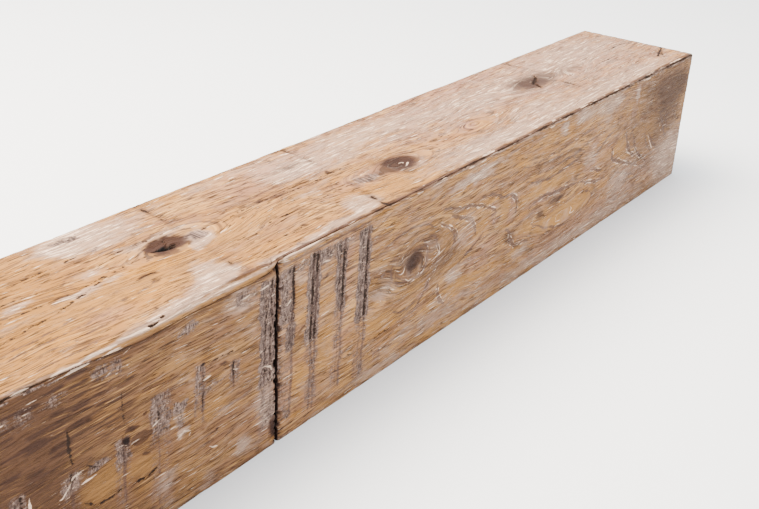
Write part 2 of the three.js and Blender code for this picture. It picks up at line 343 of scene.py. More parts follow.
def lay_lines(face, u, v, lines, seed):
    """Lays thin wandering lines on the fields. Each has a field, a width, a depth and a path, and
    a weight where it is fainter than the rest. A loop is a brown line with pale residue."""
    du, dv = 1.2 * rough(u / 11, v / 11, seed), 1.2 * rough(u / 11, v / 11, seed + 1)
    for k, (field, wide, depth, points, *weight) in enumerate(lines):
        away, along = near_path(u + du, v + dv, points)
        taper = np.sin(np.pi * np.clip(along, 0.06, 0.94)) ** 0.4
        reach = wide / 2 * taper * (1 + 0.5 * rough(u / 6, v / 6, seed + 2 + k))
        face["depth"] += depth * (1 - step(0.3, 1.25, away / np.maximum(reach, 0.3)))
        if field == "loop":
            raise_to(face, "white", cone(np.abs(away - reach - RESIDUE_OFF), RESIDUE_HALF * taper))
            field = "brown"
        raise_to(face, field, cone(away, reach * min([1, *weight])))


# Spots and lines of the front, placed as its bands are
FRONT_SPOTS = {
    # Knots, dirt and small dark dashes
    "dark": [
        (592, 92, 26, 17, 0.4, 0.54), (592, 91, 16, 11, 0.7, 0.76), (365, 61, 15, 9, 0.7, 0.55),
        (322, 67, 18, 4, 0.7, 0.4), (828, 98, 7, 2.5, 0.5, 0.7), (838, 48, 3.5, 2.4, 0.4, 0.85),
        (757, 90, 11, 14, 0.7, 0.35), (742, 90, 5, 2.5, 0.6, 0.6), (714, 125, 8, 1.8, 0.6, 0.5),
        (775, 16, 9, 22, 0.4, 0.75), (920, 81, 7, 8, 0.5, 0.9), (914, 90, 9, 3, 0.5, 0.5),
    ],
    # Brown wood: round the big knot, the healed branch by the right end, and small ones
    "shade": [
        (592, 92, 28, 18, 0.5, 1.2), (596, 97, 70, 44, 0.8, 0.8), (640, 94, 46, 26, 0.9, 0.7),
        (548, 94, 46, 50, 0.8, 0.55), (540, 72, 60, 18, 0.9, 0.5), (44, 127, 78, 38, 0.6, 1.3),
        (76, 130, 30, 20, 0.6, 0.8), (110, 140, 90, 20, 0.8, 0.6), (55, 92, 60, 40, 0.9, 0.6),
        (100, 100, 100, 70, 1.0, 0.6), (392, 36, 26, 18, 0.6, 0.6), (424, 57, 18, 16, 0.6, 1.0),
        (240, 50, 14, 20, 0.8, 0.7), (20, 132, 14, 14, 0.7, 0.6), (690, 96, 7, 14, 0.3, 1.1),
        (328, 68, 40, 8, 0.7, 1.3),
    ],
    # Where the growth rings stand out
    "figure": [
        (600, 92, 210, 130, 0.7, 1.0), (300, 95, 330, 70, 0.8, 0.5), (90, 80, 220, 110, 0.8, 0.5),
    ],
    # Golden wood
    "gold": [
        (330, 47, 80, 26, 0.25, 1.0), (510, 38, 70, 14, 0.5, 0.9), (270, 48, 60, 28, 0.4, 0.5),
        (438, 92, 22, 20, 0.4, 0.8), (480, 90, 26, 22, 0.5, 0.5), (744, 45, 26, 22, 0.6, 1.0),
        (714, 66, 26, 34, 0.6, 0.8), (650, 50, 60, 26, 0.6, 0.7), (714, 103, 18, 26, 0.6, 0.6),
        (768, 68, 12, 20, 0.6, 0.8), (470, 112, 90, 10, 0.6, 0.6), (360, 140, 200, 22, 0.8, 0.5),
        (345, 92, 140, 18, 0.6, 0.7), (184, 86, 36, 18, 0.3, 0.8), (130, 82, 16, 12, 0.6, 0.9),
        (150, 74, 16, 10, 0.6, 0.5), (845, 68, 40, 20, 0.8, 0.6), (942, 62, 46, 32, 0.4, 0.9),
        (905, 58, 50, 36, 0.5, 0.4), (120, 142, 70, 14, 0.7, 0.5), (600, 28, 170, 14, 0.9, 0.5),
        (212, 50, 24, 14, 0.6, 0.6),
    ],
    # Smooth orange islands between the rings
    "isle": [
        (330, 46, 92, 22, 0.2, 1.0), (280, 47, 56, 20, 0.25, 0.9), (508, 38, 74, 12, 0.4, 0.9),
        (440, 92, 18, 16, 0.3, 0.9), (484, 90, 20, 18, 0.4, 0.7), (744, 46, 20, 16, 0.5, 0.7),
        (184, 86, 34, 16, 0.25, 1.0), (650, 55, 44, 16, 0.5, 0.8), (714, 60, 18, 30, 0.5, 0.6),
        (400, 36, 34, 14, 0.5, 0.7), (942, 60, 36, 22, 0.4, 0.8), (905, 56, 34, 16, 0.5, 0.6),
        (350, 90, 150, 12, 0.4, 0.8), (110, 88, 50, 30, 0.5, 0.6), (150, 134, 50, 18, 0.5, 0.5),
        (396, 58, 30, 14, 0.4, 0.8), (520, 45, 30, 10, 0.4, 0.6), (545, 98, 26, 26, 0.5, 0.5),
        (225, 86, 40, 12, 0.5, 0.6), (840, 68, 30, 12, 0.6, 0.6),
    ],
    # Pinkish and lilac wood
    "pink": [
        (688, 112, 18, 80, 0.7, 0.9), (156, 134, 16, 44, 0.5, 1.2), (572, 61, 8, 14, 0.5, 1.3),
        (581, 52, 9, 8, 0.5, 1.2), (428, 92, 16, 26, 0.6, 1.1), (460, 94, 9, 26, 0.5, 1.3),
        (240, 84, 60, 22, 0.6, 0.9), (350, 78, 60, 7, 0.6, 1.0), (300, 22, 170, 22, 0.9, 0.8),
        (110, 35, 220, 50, 0.9, 0.7), (800, 35, 60, 50, 0.9, 0.6), (480, 60, 50, 30, 0.9, 0.7),
        (40, 128, 90, 44, 0.6, 0.6),
    ],
    # White wash, and less of it where the weight is below 0
    "wash": [
        (48, 126, 100, 52, 0.5, -1.0), (80, 96, 60, 60, 0.9, -0.4), (1000, 70, 170, 150, 0.8, -0.5),
        (22, 28, 110, 70, 0.6, 0.9), (60, 50, 110, 40, 0.9, 0.35), (258, 95, 26, 20, 0.9, 0.8),
        (289, 151, 36, 14, 0.7, 1.3), (330, 147, 14, 14, 0.7, 1.1), (240, 148, 60, 18, 0.8, 0.8),
        (232, 126, 34, 34, 0.9, 0.4), (505, 144, 66, 9, 0.6, 1.0), (480, 148, 70, 8, 0.6, 0.8),
        (516, 90, 16, 20, 0.9, 0.6), (500, 95, 14, 24, 0.9, 0.6), (526, 53, 26, 13, 0.7, 1.2),
        (155, 142, 10, 18, 0.5, 1.2), (210, 146, 30, 16, 0.8, 0.8), (638, 78, 26, 16, 0.9, 0.6),
        (550, 24, 160, 18, 0.9, 0.6), (300, 10, 320, 14, 0.9, 0.9), (180, 22, 90, 40, 0.9, 0.4),
        (170, 45, 60, 30, 0.9, 0.6), (400, 32, 30, 12, 0.8, 0.8), (785, 45, 20, 40, 0.8, 0.9),
        (780, 30, 14, 14, 0.8, 0.8), (812, 143, 26, 18, 0.9, 0.9), (714, 142, 22, 16, 0.9, 0.5),
        (744, 140, 16, 20, 0.6, 0.6), (870, 63, 14, 8, 0.4, 1.5), (873, 80, 12, 18, 0.6, 0.9),
        (888, 30, 22, 16, 0.8, 0.9), (848, 9, 14, 14, 0.9, 0.7), (884, 10, 12, 18, 0.9, 0.5),
        (762, 132, 14, 36, 0.8, 0.7), (640, 6, 80, 8, 0.9, 0.9), (810, 18, 14, 14, 0.7, 0.9),
        (965, 74, 22, 14, 0.5, 1.2),
    ],
    # Chips left of the joint
    "chip": [
        (907, 78, 16, 10, 0.12, 1.0), (915, 90, 14, 4.5, 0.15, 1.0), (903, 97, 5, 2, 0.3, 0.9),
        (905, 64.5, 5, 2, 0.3, 1.0),
    ],
    # Grey weathered wood
    "grey": [
        (700, 118, 10, 30, 0.8, 0.5), (640, 96, 10, 12, 0.8, 0.4), (757, 90, 14, 24, 0.6, 1.0),
        (938, 146, 16, 10, 0.6, 0.6), (972, 141, 24, 10, 0.8, 0.5), (862, 143, 22, 8, 0.7, 0.7),
        (776, 70, 20, 20, 0.5, 1.0), (780, 36, 18, 34, 0.8, 0.6), (840, 86, 30, 8, 0.7, 0.5),
        (873, 86, 16, 9, 0.6, 0.8), (872, 74, 8, 16, 0.6, 0.6), (945, 78, 18, 8, 0.6, 0.7),
        (760, 22, 10, 20, 0.7, 0.6), (668, 18, 10, 20, 0.7, 0.6), (1006, 8, 40, 20, 0.8, 0.6),
    ],
}
FRONT_LINES = [
    # Loops of the grain, lilac brown with pale residue: right of the big knot
    ("loop", 3.2, 0.2, [(550, 128), (536, 124), (520, 120), (508, 119), (492, 114), (480, 108),
                        (466, 102), (458, 99), (456, 92), (460, 84)]),
    ("loop", 3.0, 0.2, [(558, 119), (548, 113), (536, 106), (529, 99), (524, 92), (518, 86)]),
    ("loop", 4.2, 0.2, [(536, 117), (522, 111), (508, 105), (500, 102), (495, 93), (492, 84)]),
    ("loop", 4.4, 0.2, [(552, 54), (553, 44), (548, 36), (540, 29)]),
    ("loop", 3.6, 0.2, [(571, 70), (569, 64), (574, 56), (582, 48), (592, 40)]),
    ("brown", 3.4, 0.2, [(484, 119), (468, 116), (454, 112), (442, 107), (428, 105), (420, 100),
                         (413, 91)]),
    ("loop", 4.6, 0.2, [(430, 104), (421, 99), (416, 90), (418, 82)]),
    ("brown", 3.0, 0.2, [(534, 54), (528, 60), (516, 64), (504, 68), (496, 72), (488, 76), (478, 81)]),
    ("brown", 2.4, 0.1, [(622, 55), (610, 49), (598, 48), (584, 51)]),
    ("brown", 2.2, 0.1, [(644, 120), (624, 125), (600, 127), (578, 123), (562, 115)]),
    # Round the long golden island
    ("brown", 3.6, 0.3, [(400, 108), (380, 102), (362, 100), (344, 99), (326, 100), (306, 101),
                         (290, 103), (274, 106)]),
    ("brown", 3.0, 0.2, [(364, 109), (344, 108), (324, 110), (300, 111), (280, 113), (260, 117),
                         (240, 120)]),
    ("brown", 3.2, 0.2, [(250, 94), (244, 99), (234, 102), (222, 107), (212, 110)]),
    ("loop", 3.0, 0.1, [(258, 80), (246, 77), (238, 73), (226, 71)]),
    ("loop", 3.6, 0.1, [(390, 76), (378, 80), (360, 81), (340, 79), (320, 77), (300, 76), (280, 72)]),
    ("loop", 3.2, 0.1, [(280, 72), (270, 69), (256, 66), (244, 63), (230, 60), (216, 59)]),
    ("brown", 3.0, 0.1, [(380, 56), (366, 49), (350, 41), (334, 37), (318, 32), (300, 29), (284, 30)]),
    ("brown", 3.4, 0.1, [(264, 34), (250, 39), (244, 46), (249, 53), (262, 57)]),
    ("loop", 4.0, 0.1, [(434, 68), (426, 62), (424, 52), (414, 45), (400, 41), (386, 40)]),
    # The nest of loops at the right end
    ("loop", 4.8, 0.2, [(172, 100), (168, 92), (164, 84), (158, 76), (148, 68), (136, 62)]),
    ("loop", 3.0, 0.1, [(154, 98), (148, 86), (140, 74), (130, 64), (116, 56), (100, 44)]),
    ("loop", 3.6, 0.1, [(208, 94), (202, 86), (200, 76), (188, 71), (170, 65), (154, 58), (134, 51),
                        (108, 40)]),
    ("brown", 2.8, 0.1, [(117, 92), (114, 80), (108, 70), (96, 60), (84, 52)]),
    ("brown", 2.8, 0.1, [(104, 82), (96, 73), (88, 66), (74, 56)]),
    ("brown", 4.4, 0.1, [(80, 106), (72, 94), (64, 82), (56, 72), (48, 64)]),
    ("white", 1.8, 0.0, [(86, 102), (77, 90), (69, 78), (60, 68)]),
    ("white", 1.8, 0.0, [(108, 82), (100, 72), (90, 62), (76, 52)]),
    ("brown", 3.4, 0.1, [(62, 102), (56, 88), (48, 74)]),
    ("brown", 3.0, 0.1, [(42, 102), (32, 88), (20, 80)]),
    ("brown", 2.6, 0.1, [(190, 56), (170, 50), (150, 44), (130, 36)]),
    # White strokes
    ("white", 1.7, 0.0, [(578, 67), (570, 72), (564, 78), (560, 86)]),
    ("white", 1.1, 0.0, [(604, 108), (611, 102), (612, 94)]),
    ("white", 1.4, 0.0, [(582, 100), (577, 92), (578, 84), (585, 78)]),
    ("white", 1.3, 0.0, [(641, 88), (634, 78), (630, 68)]),
    ("loop", 2.4, 0.2, [(612, 80), (600, 74), (584, 75), (574, 84), (572, 96), (578, 106)]),
    ("loop", 2.2, 0.2, [(566, 66), (556, 76), (554, 90), (560, 104), (572, 112)]),
    ("white", 1.3, 0.0, [(634, 84), (624, 74), (618, 66)]),
    ("white", 1.3, 0.0, [(648, 84), (641, 74), (637, 66)]),
    ("white", 1.4, 0.0, [(626, 80), (618, 74), (611, 66)]),
    ("brown", 2.6, 0.1, [(545, 110), (532, 100), (528, 90), (534, 80), (550, 72)]),
    ("brown", 3.2, 0.1, [(580, 110), (572, 100), (572, 86), (580, 76), (600, 72)]),
    ("brown", 2.6, 0.1, [(620, 108), (628, 98), (624, 84), (608, 76)]),
    ("brown", 1.8, 0.1, [(430, 126), (360, 124), (300, 127), (240, 130)], 0.8),
    ("white", 1.3, 0.0, [(341, 63), (330, 62.5), (320, 63)]),
    ("brown", 2.4, 0.1, [(206, 86), (202, 77), (184, 70)]),
    ("brown", 2.6, 0.1, [(150, 108), (146, 102), (156, 98), (160, 90)]),
    ("white", 1.5, 0.0, [(794, 74), (786, 76), (779, 73), (775, 66), (781, 60)]),
    ("white", 1.5, 0.0, [(790, 70), (784, 67), (778, 70)]),
    ("white", 1.3, 0.0, [(770, 40), (762, 39), (757, 43), (759, 48)]),
    ("white", 1.4, 0.0, [(846, 38), (842, 34), (836, 32)]),
    ("white", 1.4, 0.0, [(876, 60), (868, 63), (862, 60), (866, 56)]),
    ("white", 1.6, 0.0, [(982, 69), (974, 68), (968, 73), (964, 79), (956, 80)]),
    ("white", 1.6, 0.0, [(978, 66), (968, 66), (963, 73), (961, 82)]),
    ("white", 1.6, 0.0, [(997, 84), (997, 77), (996, 72)]),
    ("black", 2.6, 0.3, [(966, 116), (966, 100), (963, 88)], 0.8),
    ("black", 2.2, 0.3, [(954, 82), (950, 79), (944, 76)], 0.7),
    ("black", 1.6, 0.2, [(922, 122), (921, 110), (921, 98)], 0.5),
    ("black", 1.6, 0.2, [(852, 108), (848, 109), (845, 107)], 0.6),
    ("black", 1.8, 0.5, [(959, 54), (950, 49), (940, 46.5), (926, 47)], 0.85),
    ("black", 1.3, 0.3, [(930, 47), (918, 46), (908, 45)], 0.55),
    ("black", 2.6, 0.9, [(912, 45), (904, 44.5), (896, 47)]),
    ("black", 1.2, 0.2, [(850, 106), (840, 107), (820, 106)], 0.6),
    ("brown", 1.6, 0.1, [(800, 64), (812, 62), (826, 62), (850, 60)]),
    ("brown", 1.5, 0.1, [(757, 40), (745, 38), (734, 35), (722, 34)]),
    ("black", 1.4, 0.1, [(684, 40), (668, 38), (650, 39), (632, 40)], 0.45),
    ("black", 1.4, 0.1, [(690, 30), (676, 28), (650, 28), (630, 24)], 0.4),
]


def hairlines(bands, each, seed):
    """Short white scratches of the brush over weathered bands."""
    draw = np.random.default_rng(seed)
    lines = []
    for one in bands:
        for _ in range(each):
            u = one.at + draw.uniform(-1.5, 1.5) * one.half
            v = draw.uniform(one.foot, one.top)
            run, rise = draw.uniform(3, 8), draw.uniform(-2.5, 1.5)
            wide = draw.uniform(1.0, 1.5)
            lines.append(("white", wide, 0.0, [(u - run, v - rise), (u + run, v + rise)]))
    return lines


HAIRLINES_EACH = 4
HAIRLINE_SEED = 5
FRONT_LINES += hairlines(KERFS + PATCHES, HAIRLINES_EACH, HAIRLINE_SEED)
# The big knot of the front
BIG_KNOT = (592, 92)


def front_face(u, v):
    """All fields of the front at places u, v."""
    face = blank(u)
    ring, fibre = rings(u, v, FRONT_FIGURES, front_trunk, 11)
    for k, one in enumerate(KERFS + PATCHES):
        kerf(face, u, v, one, BAND_SEED + BAND_SEED_STEP * k)
    lay_spots(face, u, v, FRONT_SPOTS, 31)
    lay_lines(face, u, v, FRONT_LINES, 36)
    face["depth"] += 0.7 * face["chip"] + 1.0 * oval(u, v, BIG_KNOT, (23, 16), 0.35)
    face["depth"] += 0.9 * oval(u, v, (593, 93), (60, 36), 0.8)
    face["shade"] += 1.2 * face["chip"]
    # Weathered streaks along the grain of the left board
    streaks = step(0.1, 0.6, rough(u / 18, v / 1.9, 61)) * step(850, 970, u) * step(70, 110, v)
    raise_to(face, "dark", 0.55 * streaks)
    # The wood is darker towards both ends, most at the far left, where it holds less wash. From the joint
    # leftwards this is partly brown patina and partly painted shade, as the light falls off towards the left.
    face["shade"] += 0.5 * step(765, 800, u) + 0.55 * step(830, 985, u) + 1.2 * step(930, 1010, u)
    face["shade"] += 0.4 * step(260, 120, u)
    face["wash"] += 0.4 * (1 - step(760, 1000, u))
    # A small lighter spot at the foot of the joint
    block = oval(u, v, (776, 4), (9, 9), 0.15)
    face["gold"] += 0.9 * block
    face["dark"] *= 1 - block
    return face, ring, fibre


# Score marks of a blade across the top: each one's path, and how open it is along it
SCORES = [
    ([(775, 150), (777, 120), (783, 78), (793, 40), (799, 6)], [1, 0.75, 0.15, 0.35, 0.9]),
    ([(601, 150), (602, 118), (607, 92), (622, 50), (630, 22), (634, 4)], [0.9, 0.8, 0.2, 0.25, 0.9, 1]),
    ([(212, 148), (213, 122), (216, 100), (225, 60), (227, 40)], [0.9, 0.8, 0.1, 0.7, 0.8]),
]


# Spots and lines of the top. Places are millimetres from the right end and from the front edge.
TOP_SPOTS = {
    # Knots and small dark dashes
    "dark": [
        (803, 82, 40, 21, 0.15, 0.6), (811, 79, 20, 7, 0.5, 1.0), (551, 49, 38, 25, 0.3, 0.74),
        (252, 87, 80, 29, 0.6, 0.6), (237, 82, 36, 22, 0.8, 0.6), (222, 94, 18, 13, 0.8, 0.4),
        (284, 82, 34, 14, 0.9, 0.3), (849, 53.5, 18, 2.4, 0.5, 0.75), (847, 44.5, 8, 2.2, 0.5, 0.7),
        (815, 46, 10, 1.6, 0.5, 0.5), (830, 35, 14, 1.6, 0.5, 0.6), (614, 83, 6, 5, 0.6, 0.75),
        (688, 82, 42, 4, 0.7, 0.5), (650, 83, 22, 2.6, 0.6, 0.5), (716, 86, 12, 2.6, 0.6, 0.5),
        (700, 119, 6, 2, 0.6, 0.55), (678, 93, 60, 2, 0.8, 0.4), (710, 26, 3, 4, 0.5, 0.6),
        (694, 26, 8, 3, 0.6, 0.6), (879, 14, 4, 4, 0.5, 0.6), (692, 46, 6, 1.6, 0.6, 0.5),
        (634, 116, 34, 8, 0.9, 0.35), (908, 71, 20, 2.2, 0.6, 0.5), (27, 34, 8, 4, 0.8, 0.7),
    ],
    # Brown wood round the knots and along the checks
    "shade": [
        (803, 82, 42, 22, 0.2, 2.0), (805, 72, 30, 16, 0.3, 1.3), (812, 97, 50, 5, 0.8, 1.0),
        (551, 50, 50, 32, 0.5, 1.2), (584, 48, 50, 16, 0.8, 0.9), (563, 34, 10, 7, 0.5, 0.8),
        (252, 88, 74, 28, 0.8, 1.2), (185, 86, 60, 18, 0.9, 0.8), (185, 104, 50, 8, 0.9, 0.6),
        (180, 78, 70, 5, 0.8, 0.8), (115, 59, 16, 5, 0.7, 1.0), (98, 58, 12, 4, 0.7, 0.9),
        (1010, 96, 200, 150, 0.9, 0.55),
    ],
    # White wash: rubbed patches left of each score, the patch at the back left, and streaks
    "wash": [
        (780, 72, 22, 24, 0.4, 1.3), (790, 62, 16, 14, 0.5, 1.4), (806, 96, 70, 8, 0.8, 0.8),
        (813, 26, 34, 34, 0.35, 1.25), (826, 12, 60, 20, 0.5, 1.3), (645, 20, 34, 32, 0.35, 1.15),
        (690, 8, 90, 12, 0.5, 1.4), (760, 5, 60, 8, 0.7, 1.2), (870, 6, 60, 12, 0.7, 1.2),
        (832, 130, 90, 46, 0.4, 1.15), (855, 136, 56, 34, 0.6, 1.2), (936, 82, 24, 8, 0.6, 1.15),
        (896, 66, 26, 10, 0.5, 1.4), (905, 68, 30, 4, 0.6, 1.2), (872, 68, 24, 6, 0.8, 1.0),
        (866, 84, 30, 14, 0.9, 0.8), (950, 64, 30, 8, 0.9, 0.7), (700, 140, 140, 14, 0.9, 0.7),
        (640, 108, 60, 34, 0.9, 1.0), (540, 124, 180, 40, 0.9, 1.0), (600, 100, 60, 30, 0.9, 0.7),
        (660, 66, 40, 8, 0.8, 0.8), (400, 100, 260, 50, 0.9, 0.8), (480, 22, 160, 34, 0.8, 0.9),
        (360, 14, 240, 26, 0.8, 1.0), (330, 40, 100, 24, 0.9, 0.7), (150, 80, 420, 190, 0.8, 0.7),
        (140, 16, 200, 26, 0.8, 0.8), (110, 110, 200, 60, 0.9, 0.6), (420, 76, 900, 190, 0.9, 0.25),
    ],
    # Grey weathered wood
    "grey": [
        (779, 77, 16, 16, 0.6, 0.85), (602, 50, 44, 16, 0.8, 0.6), (218, 108, 20, 9, 0.8, 0.4),
        (232, 50, 12, 18, 0.9, 0.5), (735, 9, 20, 8, 0.7, 0.4), (700, 6, 50, 6, 0.8, 0.35),
        (852, 139, 26, 12, 0.8, 0.75), (846, 112, 14, 5, 0.8, 0.5), (110, 96, 260, 110, 0.9, 0.16),
    ],
    # Golden wood: the far left, streaks and islands further right
    "gold": [
        (838, 59, 64, 18, 0.4, 0.9), (570, 24, 110, 30, 0.8, 0.9), (534, 42, 26, 22, 0.7, 0.7),
        (155, 88, 26, 12, 0.8, 0.8), (985, 80, 260, 180, 0.6, 1.1), (870, 44, 160, 40, 0.8, 0.6),
        (745, 66, 150, 26, 0.8, 0.6), (620, 40, 60, 22, 0.8, 0.7), (385, 48, 90, 32, 0.7, 0.8),
        (740, 20, 110, 26, 0.9, 0.5), (740, 145, 150, 14, 0.9, 0.6), (350, 64, 60, 14, 0.8, 0.5),
    ],
    # Pinkish wood
    "pink": [
        (551, 50, 44, 30, 0.5, 1.2), (598, 50, 60, 18, 0.8, 1.2), (252, 88, 84, 30, 0.7, 0.8),
        (280, 62, 60, 14, 0.8, 0.9), (640, 120, 130, 44, 0.9, 1.0), (905, 30, 40, 16, 0.9, 0.8),
        (424, 60, 26, 16, 0.6, 1.2), (300, 90, 400, 160, 0.9, 0.7), (320, 138, 140, 24, 0.9, 0.7),
        (430, 128, 60, 50, 0.9, 0.6), (90, 90, 220, 170, 0.9, 0.6),
    ],
    # Smooth orange streaks
    "isle": [
        (868, 46, 150, 18, 0.6, 0.6), (930, 62, 80, 10, 0.6, 0.5), (580, 22, 60, 16, 0.7, 0.6),
        (745, 58, 90, 10, 0.7, 0.6), (640, 22, 30, 22, 0.4, 0.5), (560, 68, 70, 10, 0.7, 0.5),
        (300, 50, 60, 16, 0.7, 0.5), (768, 56, 20, 24, 0.6, 0.5), (890, 57, 70, 8, 0.6, 0.5),
        (390, 55, 60, 12, 0.6, 0.5),
    ],
    # Where the growth rings stand out
    "figure": [
        (550, 50, 120, 60, 0.9, 0.4), (803, 78, 110, 50, 0.9, 0.6), (180, 70, 120, 50, 0.9, 0.5),
    ],
}
TOP_LINES = [
    # Along the rolled lip left of the joint
    ("black", 1.7, 0.8, [(894, 2.2), (887, 1.8), (880, 2.6)]),
    ("brown", 2.6, 0.3, [(870, 4), (850, 5.5), (825, 6.5), (800, 6.5), (778, 5)]),
    # The splits of the knots
    ("black", 4.5, 3.2, [(821, 79), (812, 78), (806, 77), (800, 78)]),
    ("black", 2.8, 2.6, [(811, 78), (804, 81), (801, 89)]),
    ("black", 3.6, 2.4, [(263, 67), (258, 74), (254, 82), (246, 86), (238, 90), (232, 94), (223, 103)]),
    ("white", 2.2, 0.0, [(553, 42), (548, 44), (543, 48), (541, 53)]),
    ("white", 1.8, 0.0, [(555, 50), (551, 53), (547, 51), (549, 48), (553, 48)]),
    ("brown", 2.0, 0.1, [(566, 58), (552, 62), (538, 58), (530, 50), (528, 42)]),
    # Small checks and curls towards the right end
    ("black", 3.0, 0.7, [(48, 27), (36, 30), (26, 34), (10, 40), (2, 45)]),
    ("black", 2.4, 0.4, [(44, 22), (36, 26), (24, 32)], 0.8),
    ("black", 2.4, 0.3, [(66, 84), (40, 84.5), (20, 84), (0, 85)], 0.7),
    ("brown", 1.6, 0.1, [(40, 70), (20, 72), (2, 73)]),
    ("brown", 1.0, 0.1, [(186, 62), (178, 68), (174, 76)]),
    ("brown", 1.0, 0.1, [(181, 60), (173, 66), (169, 75)]),
    ("brown", 1.0, 0.1, [(176, 60), (168, 66), (164, 75)]),
    ("brown", 1.0, 0.1, [(171, 60), (163, 66), (160, 74)], 0.9),
    # Long drying checks
    ("brown", 2.0, 0.2, [(180, 96), (140, 98), (100, 97), (60, 99), (20, 98)]),
    ("brown", 1.8, 0.2, [(330, 112), (290, 110), (250, 112)]),
    ("brown", 2.2, 0.2, [(150, 112), (110, 113), (60, 111)]),
    ("black", 1.6, 0.3, [(130, 66), (110, 66), (86, 65)]),
    ("brown", 1.8, 0.1, [(300, 20), (250, 19), (200, 20), (150, 18)]),
    ("brown", 1.8, 0.1, [(240, 30), (190, 29), (130, 31), (80, 30)]),
    ("brown", 1.6, 0.1, [(420, 14), (370, 13), (320, 14), (280, 12)]),
    ("brown", 1.6, 0.1, [(520, 30), (470, 29), (420, 31), (380, 30)]),
    ("brown", 1.8, 0.1, [(560, 110), (520, 112), (480, 111), (440, 113)]),
    ("brown", 1.8, 0.1, [(440, 92), (400, 90), (350, 91), (310, 89)]),
    ("black", 1.3, 0.5, [(962, 72), (930, 73), (908, 72.5), (896, 70), (880, 74), (850, 75.5),
                         (830, 77)], 0.75),
    ("black", 1.4, 0.5, [(975, 50), (950, 53), (925, 57), (908, 61), (893, 64), (880, 70),
                         (866, 74)], 0.8),
    ("black", 1.6, 0.4, [(945, 90), (930, 90), (905, 88)], 0.6),
    ("black", 1.3, 0.4, [(925, 112), (900, 111), (875, 111), (862, 112), (850, 112)], 0.6),
    ("black", 1.6, 0.5, [(858, 53), (850, 53.5), (841, 53.5)], 0.7),
    ("black", 1.2, 0.3, [(846, 96), (836, 95), (815, 95), (792, 97)], 0.55),
    ("black", 1.4, 0.5, [(770, 79), (740, 80), (718, 82), (695, 82), (665, 83), (640, 82),
                         (610, 80)], 0.6),
    ("black", 1.2, 0.3, [(700, 78), (670, 78), (640, 77), (600, 80), (580, 84)], 0.5),
    ("black", 1.2, 0.3, [(780, 44), (760, 46), (735, 49), (700, 50.5), (660, 50.5), (620, 51)], 0.55),
    ("black", 1.1, 0.2, [(770, 40), (745, 43), (715, 44)], 0.5),
    ("black", 1.1, 0.2, [(738, 25), (726, 25.5), (714, 26)], 0.5),
    ("brown", 1.4, 0.1, [(526, 90), (510, 88), (490, 86), (468, 84)]),
    ("brown", 1.4, 0.1, [(520, 94), (500, 93), (475, 93)]),
    ("brown", 1.4, 0.1, [(520, 84), (500, 82), (475, 80)]),
    ("brown", 1.4, 0.1, [(520, 74), (500, 72), (470, 76)]),
    ("brown", 1.3, 0.1, [(990, 32), (960, 33), (930, 32), (900, 33)]),
    ("brown", 1.3, 0.1, [(985, 39), (950, 40), (920, 43), (885, 46)]),
    ("brown", 1.3, 0.1, [(970, 22), (940, 22), (905, 23)]),
    ("brown", 1.3, 0.1, [(998, 9), (960, 10), (920, 11)], 0.9),
    ("brown", 1.3, 0.1, [(900, 37), (870, 40), (850, 44)], 0.9),
]


# Hollows of the three knots: depth, place, width and height, and softness
TOP_HOLLOWS = [
    (1.7, (802, 83), (37, 18), 0.25),
    (0.9, (805, 72), (26, 14), 0.4),
    (1.1, (551, 50), (29, 20), 0.4),
    (0.5, (252, 88), (58, 26), 0.7),
]
# The top is seen at a low slant, where streaks as fine as those of the front would blur
TOP_FINENESS = 0.62


def top_face(u, v):
    """All fields of the top at places u from the right end and v from the front edge."""
    face = blank(u)
    ring, fibre = rings(u, v, TOP_FIGURES, top_trunk, 211, 0.8)
    lay_spots(face, u, v, TOP_SPOTS, 221)
    lay_lines(face, u, v, TOP_LINES, 231)
    for deep, place, size, soft in TOP_HOLLOWS:
        face["depth"] += deep * oval(u, v, place, size, soft)
    for k, (points, open_at) in enumerate(SCORES):
        away, along = near_path(u, v, points)
        shown = np.interp(along, np.linspace(0, 1, len(open_at)), open_at)
        shown = shown * clamp(0.7 + 0.6 * rough(u / 5, v / 5, 290 + k))
        wide = 2.4 * (1 + 0.6 * rough(u / 4, v / 4, 281 + k))
        mark = (1 - step(0.2, 1.1, away / np.maximum(wide, 0.5))) * shown
        raise_to(face, "black", cone(away, 0.75 * wide * shown**2) * step(0.2, 0.6, shown))
        raise_to(face, "dark", 0.45 * (1 - step(0.4, 2.2, away / wide)) * shown)
        face["depth"] += 0.8 * mark
    return face, ring, fibre * TOP_FINENESS


# The back's two knots
BACK_FIGURES = [
    Figure((205, 96), 2.2, 1.8),
    Figure((742, 64), 1.6, 2.4),
]


def back_trunk(u, v):
    """Rings of the back: one long flame."""
    return (v - 76 - 8 * np.sin(u / 160)) ** 2 / 110 + 20 + 0.02 * u


def back_face(u, v):
    """The hidden side: the same old boards, plainer."""
    face = blank(u)
    ring, fibre = rings(u, v, BACK_FIGURES, back_trunk, 411)
    for one in BACK_FIGURES:
        core = oval(u, v, one.at, (20, 14), 0.4)
        raise_to(face, "dark", 0.8 * core)
        face["depth"] += 1.1 * core
        face["shade"] += 0.6 * oval(u, v, one.at, (70, 40), 0.9)
    # Three saw marks, each shorter than the one before
    for k in range(3):
        band = Band(300 + 31 * k, 150 - 12 * k, 60 + 14 * k, 20, 6, 0.8, [(-3, 0.6)])
        kerf(face, u, v, band, BACK_BAND_SEED + BAND_SEED_STEP * k)
    face["wash"] += 0.5 * oval(u, v, (700, 60), (400, 70), 0.8)
    face["wash"] += 0.4 * oval(u, v, (150, 110), (200, 60), 0.8)
    face["gold"] += 0.4 * oval(u, v, (520, 100), (300, 60), 0.9)
    return face, ring, fibre


